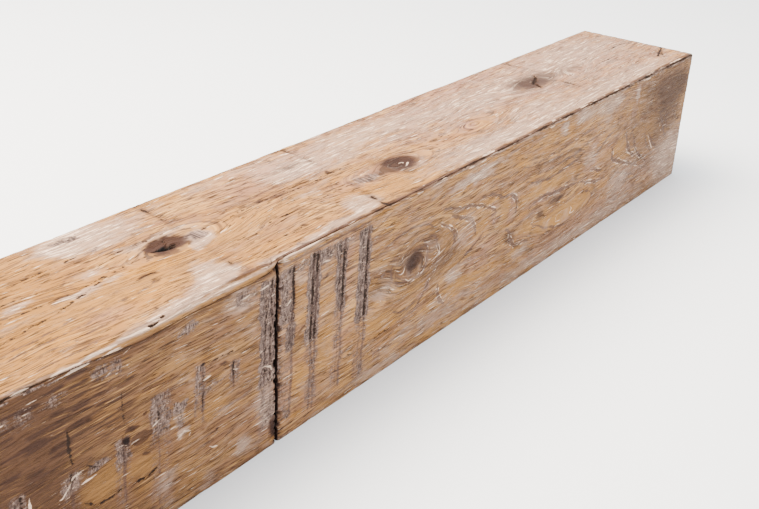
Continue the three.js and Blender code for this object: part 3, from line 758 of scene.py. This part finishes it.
def round_front(x):
    """Radius of the front arris at a place along the beam."""
    swell = ROUND_SWELL * ripple(x, 46, 71)
    return ROUND_RIGHT + (ROUND_LEFT - ROUND_RIGHT) * step(0, 40, JOINT_X - x) + swell


def round_back(x):
    """Radius of the back arris."""
    return ROUND_BACK + ROUND_SWELL * ripple(x, 52, 72)


def seam_below(x):
    """How far the mitre's seam lies below the crest of the front arris."""
    u = RIGHT_END - x
    wiggle = 0.4 * ripple(u, 24, 73) + 0.25 * ripple(u, 7, 74)
    return np.interp(u, SEAM_ALONG, SEAM_BELOW) + wiggle


def corner(s, radius):
    """Place on a worn arris: how far in along the face and how far down, with the outward direction.
    s runs along the surface from the crest of the arris."""
    side = np.abs(s)
    turn = np.minimum(side / radius, HALF_ROUND)
    angle = 3 * HALF_ROUND - turn
    over = np.maximum(side - radius * HALF_ROUND, 0)
    across = radius + radius * np.cos(angle) + over
    down = radius - radius * np.sin(angle)
    out_across, out_up = np.cos(angle), np.sin(angle)
    flip = s < 0
    return (
        np.where(flip, down, across), np.where(flip, across, down),
        np.where(flip, -out_up, out_across), np.where(flip, -out_across, out_up),
    )


# How much closer samples stand at an edge, and how far in from it that reaches
CROWD = 2.2
CROWD_REACH = 7


def spread(length, fine_low, fine_high, count):
    """Sample places from 0 to 1 that crowd together at the worn edges."""
    t = np.linspace(0, 1, count)
    near_low, near_high = np.exp(-t * length / CROWD_REACH), np.exp(-(1 - t) * length / CROWD_REACH)
    weight = 1 / (1 + CROWD * (fine_low * near_low + fine_high * near_high))
    places = np.concatenate([[0], np.cumsum((weight[1:] + weight[:-1]) / 2)])
    return places / places[-1]


# Half of the largest waves, growth rings and brushed grain together, so that all of it lies inward
RELIEF_MIDDLE = 0.435


def surface_relief(u, v, ring, fibre, seed):
    """Brushed grain and hand-worn waves, as a depth below the flat face."""
    waves = 0.35 * rough(u / 75, v / 38, seed) + 0.12 * rough(u / 24, v / 13, seed + 1)
    growth = 0.2 * rough(u / 260, ring / 3.1, seed + 4)
    brushed = 0.2 * rough(u / 26, fibre / 2.2, seed + 2)
    pits = 0.35 * step(0.45, 0.85, rough(u / 14, fibre / 2.0, seed + 3))
    return RELIEF_MIDDLE + (waves + growth + brushed) / 2 + pits


# Places in OAK: the worn face, the inside, the end grain and the nearly black end grain inside the joint
FACE_KIND = 0
INSIDE_KIND = 1
END_KIND = 2
JOINT_KIND = 3


def closed_board(name, outer, low_inner, high_inner, first_inner, last_inner, wear, caps):
    """One board as a closed mesh. outer is a grid of points along the beam by across the face,
    low_inner and high_inner run along its two inner edges, first_inner and last_inner run across
    its inner face at the two ends, and caps holds each end's place in OAK."""
    rows, columns = outer.shape[:2]
    points = np.concatenate([
        outer.reshape(-1, 3), low_inner, high_inner, first_inner[1:-1], last_inner[1:-1],
    ])
    grid = np.arange(rows * columns).reshape(rows, columns)
    low = rows * columns + np.arange(rows)
    high = low + rows
    extra = rows * columns + 2 * rows
    first = np.concatenate([[low[0]], extra + np.arange(columns - 2), [high[0]]])
    extra += columns - 2
    last = np.concatenate([[low[-1]], extra + np.arange(columns - 2), [high[-1]]])

    def strip(a, b):
        return np.stack([a[:-1], a[1:], b[1:], b[:-1]], -1).reshape(-1, 4)

    face_quads = np.concatenate([strip(grid[i], grid[i + 1]) for i in range(rows - 1)])
    side_quads = np.concatenate([strip(low, grid[:, 0]), strip(grid[:, -1], high)])
    inner_quads = strip(high, low)[1:-1]
    groups = [face_quads, side_quads, inner_quads, strip(first, grid[0]), strip(grid[-1], last)]
    quads = np.concatenate(groups)
    kinds = np.repeat([FACE_KIND, INSIDE_KIND, INSIDE_KIND, *caps], [len(group) for group in groups])
    wide_faces = [
        [low[1], *first.tolist(), high[1]],
        [high[-2], *last.tolist()[::-1], low[-2]],
    ]
    loops = np.concatenate([quads.ravel(), *[np.array(face) for face in wide_faces]])
    sizes = np.concatenate([np.full(len(quads), 4), [len(face) for face in wide_faces]])
    kinds = np.concatenate([kinds, [INSIDE_KIND, INSIDE_KIND]])
    starts = np.concatenate([[0], np.cumsum(sizes)[:-1]])

    a, b, c, d = (points[quads[:, k]] for k in range(4))
    volume = np.sum(np.cross(b - a, c - a) * a + np.cross(c - a, d - a) * a)
    if volume < 0:
        place = 4 * len(quads)
        loops[:place] = quads[:, ::-1].ravel()
        for face in wide_faces:
            loops[place:place + len(face)] = face[::-1]
            place += len(face)

    mesh = bpy.data.meshes.new(name)
    mesh.vertices.add(len(points))
    mesh.vertices.foreach_set("co", (points * MM).astype(np.float32).ravel())
    mesh.loops.add(len(loops))
    mesh.loops.foreach_set("vertex_index", loops.astype(np.int32))
    mesh.polygons.add(len(sizes))
    mesh.polygons.foreach_set("loop_start", starts.astype(np.int32))
    mesh.polygons.foreach_set("material_index", kinds.astype(np.int32))
    mesh.polygons.foreach_set("use_smooth", kinds == FACE_KIND)
    mesh.update(calc_edges=True)
    mesh.validate()
    for attribute, values in wear.items():
        padded = np.zeros((len(points), 3), np.float32)
        padded[: rows * columns] = values.reshape(-1, 3)
        made = mesh.attributes.new(attribute, "FLOAT_VECTOR", "POINT")
        made.data.foreach_set("vector", padded.ravel())
    board = bpy.data.objects.new(name, mesh)
    bpy.context.collection.objects.link(board)
    return board


def top_section(s, x):
    """Place and outward direction on the top board, s from the front crest, with the mark's place."""
    front, back = round_front(x), round_back(x)
    whole = WIDTH - (front + back) * (1 - HALF_ROUND)
    near = corner(s, front)
    far = corner(whole - s, back)
    first = s < whole / 2
    y = np.where(first, FRONT + near[0], BACK - far[0])
    z = HEIGHT - np.where(first, near[1], far[1])
    out_y = np.where(first, near[2], -far[2])
    out_z = np.where(first, near[3], far[3])
    return y, z, out_y, out_z, s + front * (1 - HALF_ROUND)


def side_section(edge, inward, radius_at):
    """The section of a side board, as that of the top, with s counted down from the crest."""
    def section(s, x):
        radius = radius_at(x)
        across, down, out_across, out_up = corner(s, radius)
        mark = HEIGHT - s - radius * (1 - HALF_ROUND)
        return edge + inward * down, HEIGHT - across, -inward * out_up, -out_across, mark

    return section


front_section = side_section(FRONT, 1, round_front)
back_section = side_section(BACK, -1, round_back)


def back_seam(x):
    """How far the back mitre's seam wanders off the crest of its arris."""
    return 0.3 * ripple(x, 9, 75)


def top_span(x):
    """Where the top starts and ends across its face, as distances from the crest of the front arris."""
    whole = WIDTH - (round_front(x) + round_back(x)) * (1 - HALF_ROUND)
    return MITRE_GAP / 2 - seam_below(x), whole - MITRE_GAP / 2 - back_seam(x)


def front_span(x):
    """Where the front starts and ends, as distances down from the crest of its arris."""
    return seam_below(x) + MITRE_GAP / 2, HEIGHT - round_front(x) * (1 - HALF_ROUND)


def back_span(x):
    """Where the back starts and ends, as distances down from the crest of its arris."""
    return MITRE_GAP / 2 - back_seam(x), HEIGHT - round_back(x) * (1 - HALF_ROUND)


def arris_wear(face, s, off_seam, u, shown, seed, bruised=1.0):
    """Wear near an arris: the mitre's dark seam with broken lips, bruises and small bites.
    s is the distance from the crest, off_seam the distance from the seam, and shown how open
    the seam is."""
    lips = np.clip(1 + 0.8 * ripple(u, 7, seed) + 0.4 * ripple(u, 2.6, seed + 1), 0.35, 2)
    open_here = np.clip(shown * (0.85 + 0.6 * ripple(u, 19, seed + 4)), 0.05, 1)
    groove = hump(off_seam, lips)
    bruise = hump(s, 5.5) * clamp(rougher(u / 34, s / 8, seed + 2))
    bite = hump(s, 2.8) * step(0.5, 0.85, rough(u / 8, s / 7, seed + 3))
    face["depth"] += 0.9 * open_here * groove + bruised * (1.1 * bruise + 0.8 * bite)
    raise_to(face, "dark", 0.9 * groove * open_here)
    raise_to(face, "black", cone(off_seam, 1.5 * lips * open_here) * step(0.3, 0.6, open_here))
    face["shade"] += 1.1 * hump(off_seam, 3.8) * open_here


def front_arris(face, s, u, x, seed):
    """The front arris: chipped white at the far left, a pale rolled lip left of the joint with painted shadow
    below it, a bright crest right of it, and a dark broken seam along the rest. The pale crest is partly
    wash and partly a painted highlight."""
    seam = -seam_below(x)
    shown = np.interp(u, SEAM_ALONG, SEAM_SHOWN)
    arris_wear(face, s, np.abs(s - seam), u, shown, seed)
    # Along the crest: white chips and grey at the far left, and elsewhere wash and golden wood, which are
    # also a painted highlight where the rounded arris meets the light
    crest = hump(s, 2.6)
    flecks = step(0.05, 0.5, rough(u / 9, s / 1.6, seed + 5))
    face["wash"] += 1.6 * crest * flecks * step(890, 930, u)
    raise_to(face, "grey", 0.9 * hump(s + 3.5, 2.5) * flecks * step(880, 930, u))
    face["gold"] += 0.8 * crest * step(600, 680, u) * step(900, 850, u)
    face["wash"] += (0.9 * crest * flecks + 0.5 * crest) * step(640, 500, u)
    face["wash"] += 0.8 * crest * step(560, 700, u)
    edging = hump(s - 3.0, 2.2, 4) * step(870, 800, u)
    face["shade"] += 1.3 * edging * np.clip(0.8 + 0.5 * ripple(u, 21, seed + 7), 0.2, 1)
    face["wash"] *= 1 - 0.85 * edging
    face["gold"] += 0.8 * hump(s + 2.0, 2.4) * step(880, 780, u)
    # Right of the joint a white crest, partly wash and partly a painted highlight, lies between two brown
    # lines
    near_joint = step(560, 690, u) * step(769, 764, u)
    chalked = clamp(0.7 + ripple(u, 13, seed + 8))
    raise_to(face, "white", near_joint * cone(np.abs(s - 0.3), 1.2 * chalked))
    raise_to(face, "brown", near_joint * cone(np.abs(s - 2.9), 1.4))
    raise_to(face, "brown", near_joint * cone(np.abs(s + 5.4), 1.3))
    face["gold"] += near_joint * hump(s + 2.6, 2.6)
    # Right of the rubbed corner the seam is a broken brown band with white flecks on both sides
    plain = step(640, 600, u)
    broken = clamp(0.75 + 0.7 * ripple(u, 11, seed + 9))
    raise_to(face, "brown", plain * cone(np.abs(s - seam), 3.4 * broken))
    for aside in (3.0, -3.4):
        flecked = clamp(0.1 + rough(u / 10, s / 3, seed + 10))
        raise_to(face, "white", plain * cone(np.abs(s - seam - aside), 1.5 * flecked))
    # At the far left white threads run along the arris
    for aside in (-0.5, -4.5):
        flecked = clamp(0.3 + rough(u / 14, s / 3, seed + 12))
        raise_to(face, "white", step(870, 930, u) * cone(np.abs(s - aside), 1.6 * flecked))
    # Left of the joint the lip is golden, washed on its crest, where the wash is also a painted highlight,
    # brown behind, and below it on the front lies a band of painted shadow under the rolled lip
    lip = step(772, 780, u) * step(960, 900, u)
    face["isle"] += 0.7 * lip * hump(s + 1.5, 3.4, 4)
    face["wash"] += 1.1 * lip * hump(s + 0.5, 1.7)
    face["shade"] += lip * (0.9 * hump(s + 6.5, 3.0) + 0.8 * hump(s - 2.6, 0.9))
    # The joint's dark broken scar on the arris
    scar = oval(u, s, (JOINT + 2, 0), (15, 14), 0.6)
    specks = step(-0.1, 0.4, rough(u / 2.2, s / 2.2, seed + 6))
    raise_to(face, "dark", 0.95 * scar * specks)
    face["depth"] += 1.1 * scar


# How far the dark nicks reach in from the torn joint, on the boards right and left of it
TORN_DARK_RIGHT = 3.8
TORN_DARK_LEFT = 2.2


def end_wear(face, x, ends, u, v, seed):
    """Slightly broken edges where a board ends, with the wood painted darker along them."""
    for place, torn in ends:
        off = np.abs(x - place)
        face["depth"] += 0.9 * hump(off, 1.3 + 0.78 * ripple(v, 5, seed))
        if torn:
            nick = step(0.1, 0.6, rough(v / 2.3, u / 5, seed + 1))
            dark_reach = TORN_DARK_RIGHT if place == x.min() else TORN_DARK_LEFT
            # Near the torn joint the wood is painted dark along the edge and in its nicks
            raise_to(face, "dark", hump(off, 0.5, 4))
            raise_to(face, "dark", 0.95 * nick * hump(off, dark_reach))
            face["shade"] += 0.9 * hump(off, 3.0)
            face["depth"] += 1.6 * nick * hump(off, 2.6)
        else:
            # A plain end gets a painted dark rim along its edge
            face["shade"] += 1.4 * hump(off, 3.2)
            face["depth"] += 1.5 * hump(off, 1.8)
            worn = clamp(0.9 + 0.4 * ripple(v, 9, seed))
            raise_to(face, "dark", 0.55 * worn * hump(off, 4.2, 4))


def joint_shift(height, side):
    """How far a torn end stands off its straight line: the joint wanders, and each side is torn."""
    middle = 1.2 * ripple(height, 26, 81) + 0.5 * ripple(height, 8, 82)
    torn = 0.8 * clamp(ripple(height, 3.1, 83 + side))
    return middle + side * (torn + 0.25 * ripple(height, 1.3, 86 + side))


# How far from the joint a board's end is bent to its torn line
TORN_REACH = 12
# Seeds of the wear that boards share, so that marks run on across a seam
ARRIS_SEED = 301
BACK_ARRIS_SEED = 311
END_SEED = 321
# The back arris: how open its seam is, and how bruised it is beside the front one
BACK_SHOWN = 0.25
BACK_BRUISED = 0.35


def make_board(name, low_x, high_x, rows, columns, span, section, fields, inner, seed, side):
    """A board between two places along the beam. side is 1 or -1 where one end is torn at the
    joint, to the right or to the left of it, and otherwise 0."""
    stations = low_x + (high_x - low_x) * spread(high_x - low_x, 1, 1, rows)
    x = np.repeat(stations[:, None], columns, 1)
    torn_x = {1: low_x, -1: high_x, 0: None}[side]

    def torn(place, height):
        if side == 0:
            return place
        return place + joint_shift(height, side) * clamp(1 - np.abs(place - torn_x) / TORN_REACH)

    low, high = span(x)
    s = low + (high - low) * spread(HEIGHT, 1, 0.6, columns)[None, :]
    y, z, out_y, out_z, mark = section(s, x)
    edge = x
    x = torn(x, z)
    u = RIGHT_END - x
    face, ring, fibre = fields(u, mark)
    if section is top_section:
        front_arris(face, s, u, x, ARRIS_SEED)
        arris_wear(face, high - s, np.abs(high - s), u, BACK_SHOWN, BACK_ARRIS_SEED, BACK_BRUISED)
    elif section is front_section:
        front_arris(face, -s, u, x, ARRIS_SEED)
        # Painted shade along the foot of the front, where it meets the floor
        face["shade"] += 0.6 * hump(mark, 2.0)
    else:
        arris_wear(face, s, s, u, BACK_SHOWN, BACK_ARRIS_SEED, BACK_BRUISED)
    end_wear(face, edge, [(low_x, side == 1), (high_x, side == -1)], u, mark, END_SEED)
    depth = face["depth"] + surface_relief(u, mark, ring, fibre, seed)
    outer = np.stack([x, y - out_y * depth, z - out_z * depth], -1)

    (low_y, low_z), (high_y, high_z) = inner

    def inner_line(place, down):
        line_z = low_z + (high_z - low_z) * down
        line_y = low_y + (high_y - low_y) * down
        return np.stack(np.broadcast_arrays(torn(place, line_z), line_y, line_z), -1)

    carried = {"grain": np.stack([u, fibre, ring], -1)}
    for attribute, names in CARRIED.items():
        carried[attribute] = np.stack([face[one] for one in names], -1).clip(-1, 2)
    across = np.linspace(0, 1, columns)
    return closed_board(
        name, outer, inner_line(stations, 0.0), inner_line(stations, 1.0),
        inner_line(stations[0], across), inner_line(stations[-1], across),
        carried, (JOINT_KIND if side == 1 else END_KIND, JOINT_KIND if side == -1 else END_KIND),
    )


def linear(value):
    """A linear colour from an sRGB hex value."""
    parts = [int(value[k:k + 2], 16) / 255 for k in (1, 3, 5)]
    return tuple(c / 12.92 if c <= 0.04045 else ((c + 0.055) / 1.055) ** 2.4 for c in parts) + (1.0,)


def add(tree, kind, links=None, **settings):
    """Adds a node with its settings. links holds each input's value, or the output that feeds it."""
    node = tree.nodes.new(kind)
    for name, value in settings.items():
        setattr(node, name, value)
    for key, value in (links or {}).items():
        if isinstance(value, bpy.types.NodeSocket):
            tree.links.new(value, node.inputs[key])
        else:
            node.inputs[key].default_value = value
    return node


# Colours of the oak and of what lies on it
HONEY = "#9A7045"
TAN = "#835C3E"
UMBER = "#704B30"
BROWN = "#48301E"
GOLD = "#9C6A28"
PINK = "#906957"
# Brown patina, which is also laid wherever the wood carries painted shade
PATINA_AND_SHADE = "#4C3322"
STRAW = "#C29258"
ISLE = "#9A6E3B"
PORE = "#261810"
VEIL = "#A08676"
CHALK = "#EBCDB4"
SLATE = "#392D29"
ASH = "#745F57"
THREAD = "#AF9281"
LILAC = "#503A31"
KNOT = "#2D1A14"
CRACK = "#0A0605"


# Old wood scatters nearly all of the light, so that its sheen is faint
WOOD_IOR = 1.5
DRY_SHEEN = 0.1
FACE_ROUGHNESS = 0.62
INSIDE_ROUGHNESS = 0.75
END_ROUGHNESS = 0.8
JOINT_END_ROUGHNESS = 0.95
# Bumps of the brushed face and of the sawn surfaces: their strength and their height in metres
BRUSHED_BUMP = (0.8, 0.6 * MM)
SAWN_BUMP = (0.5, 0.5 * MM)
# The growth rings of the end grain, in metres: the length that sets their spacing, and how far their
# heart lies before the middle and below the floor
END_RING = 0.022
END_HEART = (0, 0.03, 0.09)


def start_material(name, roughness):
    """A named material with an empty tree but for its shader and output."""
    material = bpy.data.materials.new(name)
    material.use_nodes = True
    tree = material.node_tree
    tree.nodes.clear()
    shader = add(tree, "ShaderNodeBsdfPrincipled", {
        "Roughness": roughness, "IOR": WOOD_IOR, "Specular IOR Level": DRY_SHEEN})
    add(tree, "ShaderNodeOutputMaterial", {"Surface": shader.outputs[0]})
    return material, tree, shader


def pattern(tree, source, size, seed, low, high, push=(), detail=3.0, roughness=0.55):
    """A mask of noise drawn out to real sizes, soft from low to high. The sizes are millimetres on
    the worn faces and metres on the others, as their places are. Each push is a field and how far
    it raises the noise."""
    scale = [1 / one if one else 0 for one in size]
    place = add(tree, "ShaderNodeMapping", {"Vector": source, "Location": (seed, 0, 0), "Scale": scale})
    noise = add(tree, "ShaderNodeTexNoise", {
        "Vector": place.outputs[0], "Scale": 1.0, "Detail": detail, "Roughness": roughness})
    value = noise.outputs[0]
    for field, amount in push:
        raised = add(tree, "ShaderNodeMath", {0: field, 1: amount, 2: value}, operation="MULTIPLY_ADD")
        value = raised.outputs[0]
    mask = add(tree, "ShaderNodeMapRange", {0: value, 1: low, 2: high}, interpolation_type="SMOOTHSTEP")
    return mask.outputs[0]


def paint(tree, colour, layers):
    """Lays colours over one another. Each layer is a colour and the masks that it shows through."""
    for tone, factor, *masks in layers:
        for mask in masks:
            factor = add(tree, "ShaderNodeMath", {0: factor, 1: mask}, operation="MULTIPLY").outputs[0]
        shown = linear(tone) if isinstance(tone, str) else tone
        colour = add(tree, "ShaderNodeMix", {0: factor, 6: colour, 7: shown}, data_type="RGBA").outputs[2]
    return colour


def finish_material(tree, shader, colour, height, bump_size):
    """Gives the shader its colour, and a bump by the given height."""
    tree.links.new(colour, shader.inputs["Base Color"])
    strength, distance = bump_size
    bump = add(tree, "ShaderNodeBump", {"Strength": strength, "Distance": distance, "Height": height})
    tree.links.new(bump.outputs[0], shader.inputs["Normal"])


def oak_face():
    """Old oak, wire brushed and rubbed with thin white wash: matt, streaked along the grain, with
    dark open pores, pale residue in them and grey where the saw opened the surface."""
    material, tree, shader = start_material("old_oak_brushed_and_washed", FACE_ROUGHNESS)
    names = ("grain", *CARRIED)
    grain, *held = [add(tree, "ShaderNodeAttribute", attribute_name=name).outputs["Vector"] for name in names]
    (wash, grey, dark), (gold, pink, shade), (figure, chip, isle), (white, brown, black) = [
        add(tree, "ShaderNodeSeparateXYZ", {0: vector}).outputs for vector in held
    ]
    mask = partial(pattern, tree, grain)

    # Mottled wood: patches of honey and tan, and uneven growth bands that follow the rings
    bands = mask((260, 0, 5.2), 4.1, 0.50, 0.68, [(figure, 0.07)], 2.0)
    colour = paint(tree, linear(HONEY), [
        (TAN, mask((48, 14, 0), 1.3, 0.40, 0.60)),
        (STRAW, mask((56, 13, 0), 83.2, 0.52, 0.66), 0.45),
        (GOLD, mask((36, 10, 0), 2.9, 0.50, 0.66), 0.6),
        (GOLD, gold, 0.85),
        (PINK, pink, 0.75),
        (UMBER, bands, 0.6),
        (BROWN, mask((120, 0, 2.2), 7.9, 0.56, 0.68, [(figure, 0.06)], 2.0), 0.55),
        (STRAW, mask((140, 0, 2.6), 9.7, 0.60, 0.72, [(figure, 0.08)], 2.0), 0.5),
        # Where the shade field lies: brown patina, and painted shade at the front's far left, under the lip
        # and at its foot
        (PATINA_AND_SHADE, shade, 0.6),
    ])
    # Fibres and open pores. A real pore is 0.3 mm wide and wouldn't show, so these are coarser.
    fibre_light = mask((34, 1.3, 0), 11.2, 0.55, 0.63)
    fibre_dark = mask((38, 1.3, 0), 17.5, 0.54, 0.60)
    pores = mask((18, 1.1, 0), 23.6, 0.60, 0.64, [(bands, 0.04), (shade, 0.025)], 2.0)
    colour = paint(tree, colour, [
        (STRAW, fibre_light, 0.6),
        (BROWN, fibre_dark, 0.6),
        (PORE, pores, 0.8),
        (ISLE, isle, 0.88),
        # The same patina and painted shade again, over the fibres
        (PATINA_AND_SHADE, shade, 0.4),
        (LILAC, mask((9, 2.2, 0), 67.7, 0.90, 1.08, [(brown, 1.0)], 4.0, 0.7), 0.8),
    ])
    # White wash: a thin veil with ragged edges, and chalk caught in the brushed lines
    veil = mask((30, 6.0, 0), 31.7, 0.54, 0.94, [(wash, 0.26)], 5.0, 0.74)
    caught = mask((26, 1.3, 0), 37.1, 0.645, 0.71, [(wash, 0.075)], 3.0, 0.62)
    colour = paint(tree, colour, [(VEIL, veil, 0.72), (CHALK, caught, 0.7)])
    # Saw bands: pale and dark threads, crossed as the brush left them
    threads = mask((1.7, 8.0, 0), 43.9, 0.40, 0.58, (), 3.0, 0.7)
    hatched = paint(tree, linear(SLATE), [
        (ASH, threads),
        (THREAD, mask((5.0, 1.2, 0), 45.1, 0.56, 0.64, (), 3.0, 0.7), 0.6),
        (THREAD, mask((2.0, 4.6, 0), 47.3, 0.55, 0.63, (), 3.0, 0.7), 0.65),
    ])
    ragged = mask((7, 2.0, 0), 53.1, 0.66, 0.88, [(grey, 0.56)], 4.0, 0.75)
    # Over it the saw bands, chips, knots laid on twice to hide the wood, checks, strokes and cracks
    colour = paint(tree, colour, [
        (hatched, ragged),
        (PATINA_AND_SHADE, chip, 0.9),
        (KNOT, dark),
        (KNOT, dark),
        (PORE, mask((6, 3.0, 0), 71.9, 0.94, 1.08, [(black, 1.0)], 3.0, 0.7)),
        (CHALK, mask((14, 7, 0), 61.3, 1.56, 1.70, [(white, 2.0)], 3.0, 0.6), 0.68),
        (CRACK, add(tree, "ShaderNodeMapRange", {0: dark, 1: 0.72, 2: 1.0}).outputs[0]),
    ])
    # Pores and fibres sink, wash and saw threads stand up a little
    sunk = add(tree, "ShaderNodeMath", {0: pores, 1: fibre_dark}, operation="ADD").outputs[0]
    raised = add(tree, "ShaderNodeMath", {0: fibre_light, 1: caught}, operation="ADD").outputs[0]
    hatch = add(tree, "ShaderNodeMath", {0: threads, 1: ragged, 2: raised}, operation="MULTIPLY_ADD")
    height = add(tree, "ShaderNodeMath", {0: hatch.outputs[0], 1: sunk}, operation="SUBTRACT")
    finish_material(tree, shader, colour, height.outputs[0], BRUSHED_BUMP)
    return material


def oak_inside():
    """The unseen inner faces and mitres: oak as it left the saw, dull, with streaks of fibre."""
    material, tree, shader = start_material("sawn_oak_inside", INSIDE_ROUGHNESS)
    mask = partial(pattern, tree, add(tree, "ShaderNodeTexCoord").outputs["Object"])
    fibres = mask((0.05, 0.0018, 0.0018), 5.3, 0.45, 0.7)
    saw = mask((0.0016, 0.09, 0.09), 9.1, 0.4, 0.7, (), 1.0)
    colour = paint(tree, linear(TAN), [
        (UMBER, mask((0.15, 0.02, 0.02), 1.7, 0.4, 0.6)), (BROWN, fibres, 0.7), (STRAW, saw, 0.25),
    ])
    height = add(tree, "ShaderNodeMath", {0: saw, 1: fibres}, operation="SUBTRACT")
    finish_material(tree, shader, colour, height.outputs[0], SAWN_BUMP)
    return material


def oak_end():
    """End grain: arcs of growth rings about a heart below the floor, dark pores and grey age."""
    material, tree, shader = start_material("oak_end_grain", END_ROUGHNESS)
    place = add(tree, "ShaderNodeTexCoord").outputs["Object"]
    mask = partial(pattern, tree, place)
    heart = add(tree, "ShaderNodeMapping", {
        "Vector": place, "Location": END_HEART, "Scale": (0, 1, 1)})
    rings = add(tree, "ShaderNodeTexWave", {
        "Vector": heart.outputs[0], "Scale": 1 / END_RING, "Distortion": 1.6, "Detail": 2.0,
        "Detail Scale": 1.5}, wave_type="RINGS", rings_direction="X").outputs["Fac"]
    colour = paint(tree, linear(TAN), [
        (BROWN, rings, 0.8),
        (PORE, mask((0.02, 0.0011, 0.0011), 3.3, 0.56, 0.66), 0.8),
        (ASH, mask((0.03, 0.022, 0.022), 6.1, 0.45, 0.7), 0.45),
    ])
    finish_material(tree, shader, colour, rings, SAWN_BUMP)
    return material


def dark_joint_ends():
    """The end grain inside the torn joint, painted dull and nearly black."""
    material, tree, shader = start_material("nearly_black_oak_end_grain", JOINT_END_ROUGHNESS)
    place = add(tree, "ShaderNodeTexCoord").outputs["Object"]
    blotches = pattern(tree, place, (0.004, 0.002, 0.002), 2.3, 0.4, 0.7)
    tree.links.new(paint(tree, linear(CRACK), [(KNOT, blotches)]), shader.inputs["Base Color"])
    return material


OAK = [oak_face(), oak_inside(), oak_end(), dark_joint_ends()]
# The mitres stand apart by their gap, so each board's inner edge moves by this
SHIFT = MITRE_GAP / math.sqrt(2)
INNER_TOP = HEIGHT - THICKNESS
INNER_FRONT = FRONT + THICKNESS
INNER_BACK = BACK - THICKNESS
FRONT_EDGES = ((INNER_FRONT, INNER_TOP - SHIFT), (INNER_FRONT, 0))
BACK_EDGES = ((INNER_BACK, INNER_TOP - SHIFT), (INNER_BACK, 0))
TOP_EDGES = ((INNER_FRONT + SHIFT, INNER_TOP), (INNER_BACK - SHIFT, INNER_TOP))

# Each board: the piece, the node that it replaces and its slot, then its two ends, its samples along
# and across, its span, section and face, its inner edges, its seed and the side that is torn
BOARDS = [
    ("top_oak_board", "top_board", "top_wood",
     LEFT_END, RIGHT_END, 540, 176, top_span, top_section, top_face, TOP_EDGES, 341, 0),
    ("right_front_oak_board", "front_board_right", "front_wood",
     JOINT_X + JOINT_GAP / 2, RIGHT_END, 610, 158, front_span, front_section, front_face, FRONT_EDGES,
     351, 1),
    ("left_front_oak_board", "front_board_left", "front_wood",
     LEFT_END, JOINT_X - JOINT_GAP / 2, 420, 218, front_span, front_section, front_face, FRONT_EDGES,
     361, -1),
    ("back_oak_board", "back_board", "back_wood",
     LEFT_END, RIGHT_END, 420, 110, back_span, back_section, back_face, BACK_EDGES, 371, 0),
]
for piece_name, node, slot, *shape in BOARDS:
    piece = make_board(piece_name, *shape)
    for material in OAK:
        piece.data.materials.append(material)
    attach(piece, "root")
    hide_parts(node)

# The studio: a white paper floor, an even white sky, one softbox and the camera
FLOOR_HALF = 6.0
PAPER = "#F4F9FF"
PAPER_ROUGHNESS = 0.9
SKY_STRENGTH = 2.16
floor_mesh = bpy.data.meshes.new("studio_floor")
corners = [(x * FLOOR_HALF, y * FLOOR_HALF, 0) for x, y in ((-1, -1), (1, -1), (1, 1), (-1, 1))]
floor_mesh.from_pydata(corners, [], [(0, 1, 2, 3)])
floor = bpy.data.objects.new("studio_floor", floor_mesh)
bpy.context.collection.objects.link(floor)
paper = bpy.data.materials.new("white_paper")
paper.use_nodes = True
sheet = paper.node_tree.nodes["Principled BSDF"].inputs
sheet["Base Color"].default_value = linear(PAPER)
sheet["Roughness"].default_value = PAPER_ROUGHNESS
floor_mesh.materials.append(paper)

world = bpy.data.worlds.new("studio_air")
bpy.context.scene.world = world
world.use_nodes = True
world.node_tree.nodes["Background"].inputs[0].default_value = (1.0, 1.0, 1.0, 1.0)
world.node_tree.nodes["Background"].inputs[1].default_value = SKY_STRENGTH

# A warm square softbox behind the beam's left end and above it, its place and size in metres and
# its power in watts
KEY_PLACE = (-0.6, 0.9, 1.9)
KEY_AIM = (0.0, 0.0, 0.1)
KEY_SIZE = 1.8
KEY_POWER = 250
KEY_TONE = "#FFF0DC"
light = bpy.data.lights.new("key", "AREA")
light.shape = "SQUARE"
light.size = KEY_SIZE
light.energy = KEY_POWER
light.color = linear(KEY_TONE)[:3]
lamp = bpy.data.objects.new("key", light)
lamp.location = KEY_PLACE
lamp.rotation_euler = (Vector(KEY_AIM) - Vector(KEY_PLACE)).to_track_quat("-Z", "Y").to_euler()
bpy.context.collection.objects.link(lamp)

# The camera's place in metres, the way it looks, its roll in degrees, and its lens and sensor in
# millimetres, as the photograph's perspective gives them
CAMERA_PLACE = (-0.78179, -0.54884, 0.52063)
CAMERA_AIM = (0.72914, 0.52179, -0.44283)
CAMERA_ROLL = 2.963
LENS = 52.11
SENSOR = 36.0
CLIP_START = 0.01
camera_data = bpy.data.cameras.new("camera")
camera_data.lens = LENS
camera_data.sensor_width = SENSOR
camera_data.clip_start = CLIP_START
camera = bpy.data.objects.new("camera", camera_data)
camera.matrix_world = (
    Matrix.Translation(CAMERA_PLACE)
    @ Vector(CAMERA_AIM).to_track_quat("-Z", "Y").to_matrix().to_4x4()
    @ Matrix.Rotation(math.radians(CAMERA_ROLL), 4, "Z")
)
bpy.context.collection.objects.link(camera)
bpy.context.scene.camera = camera
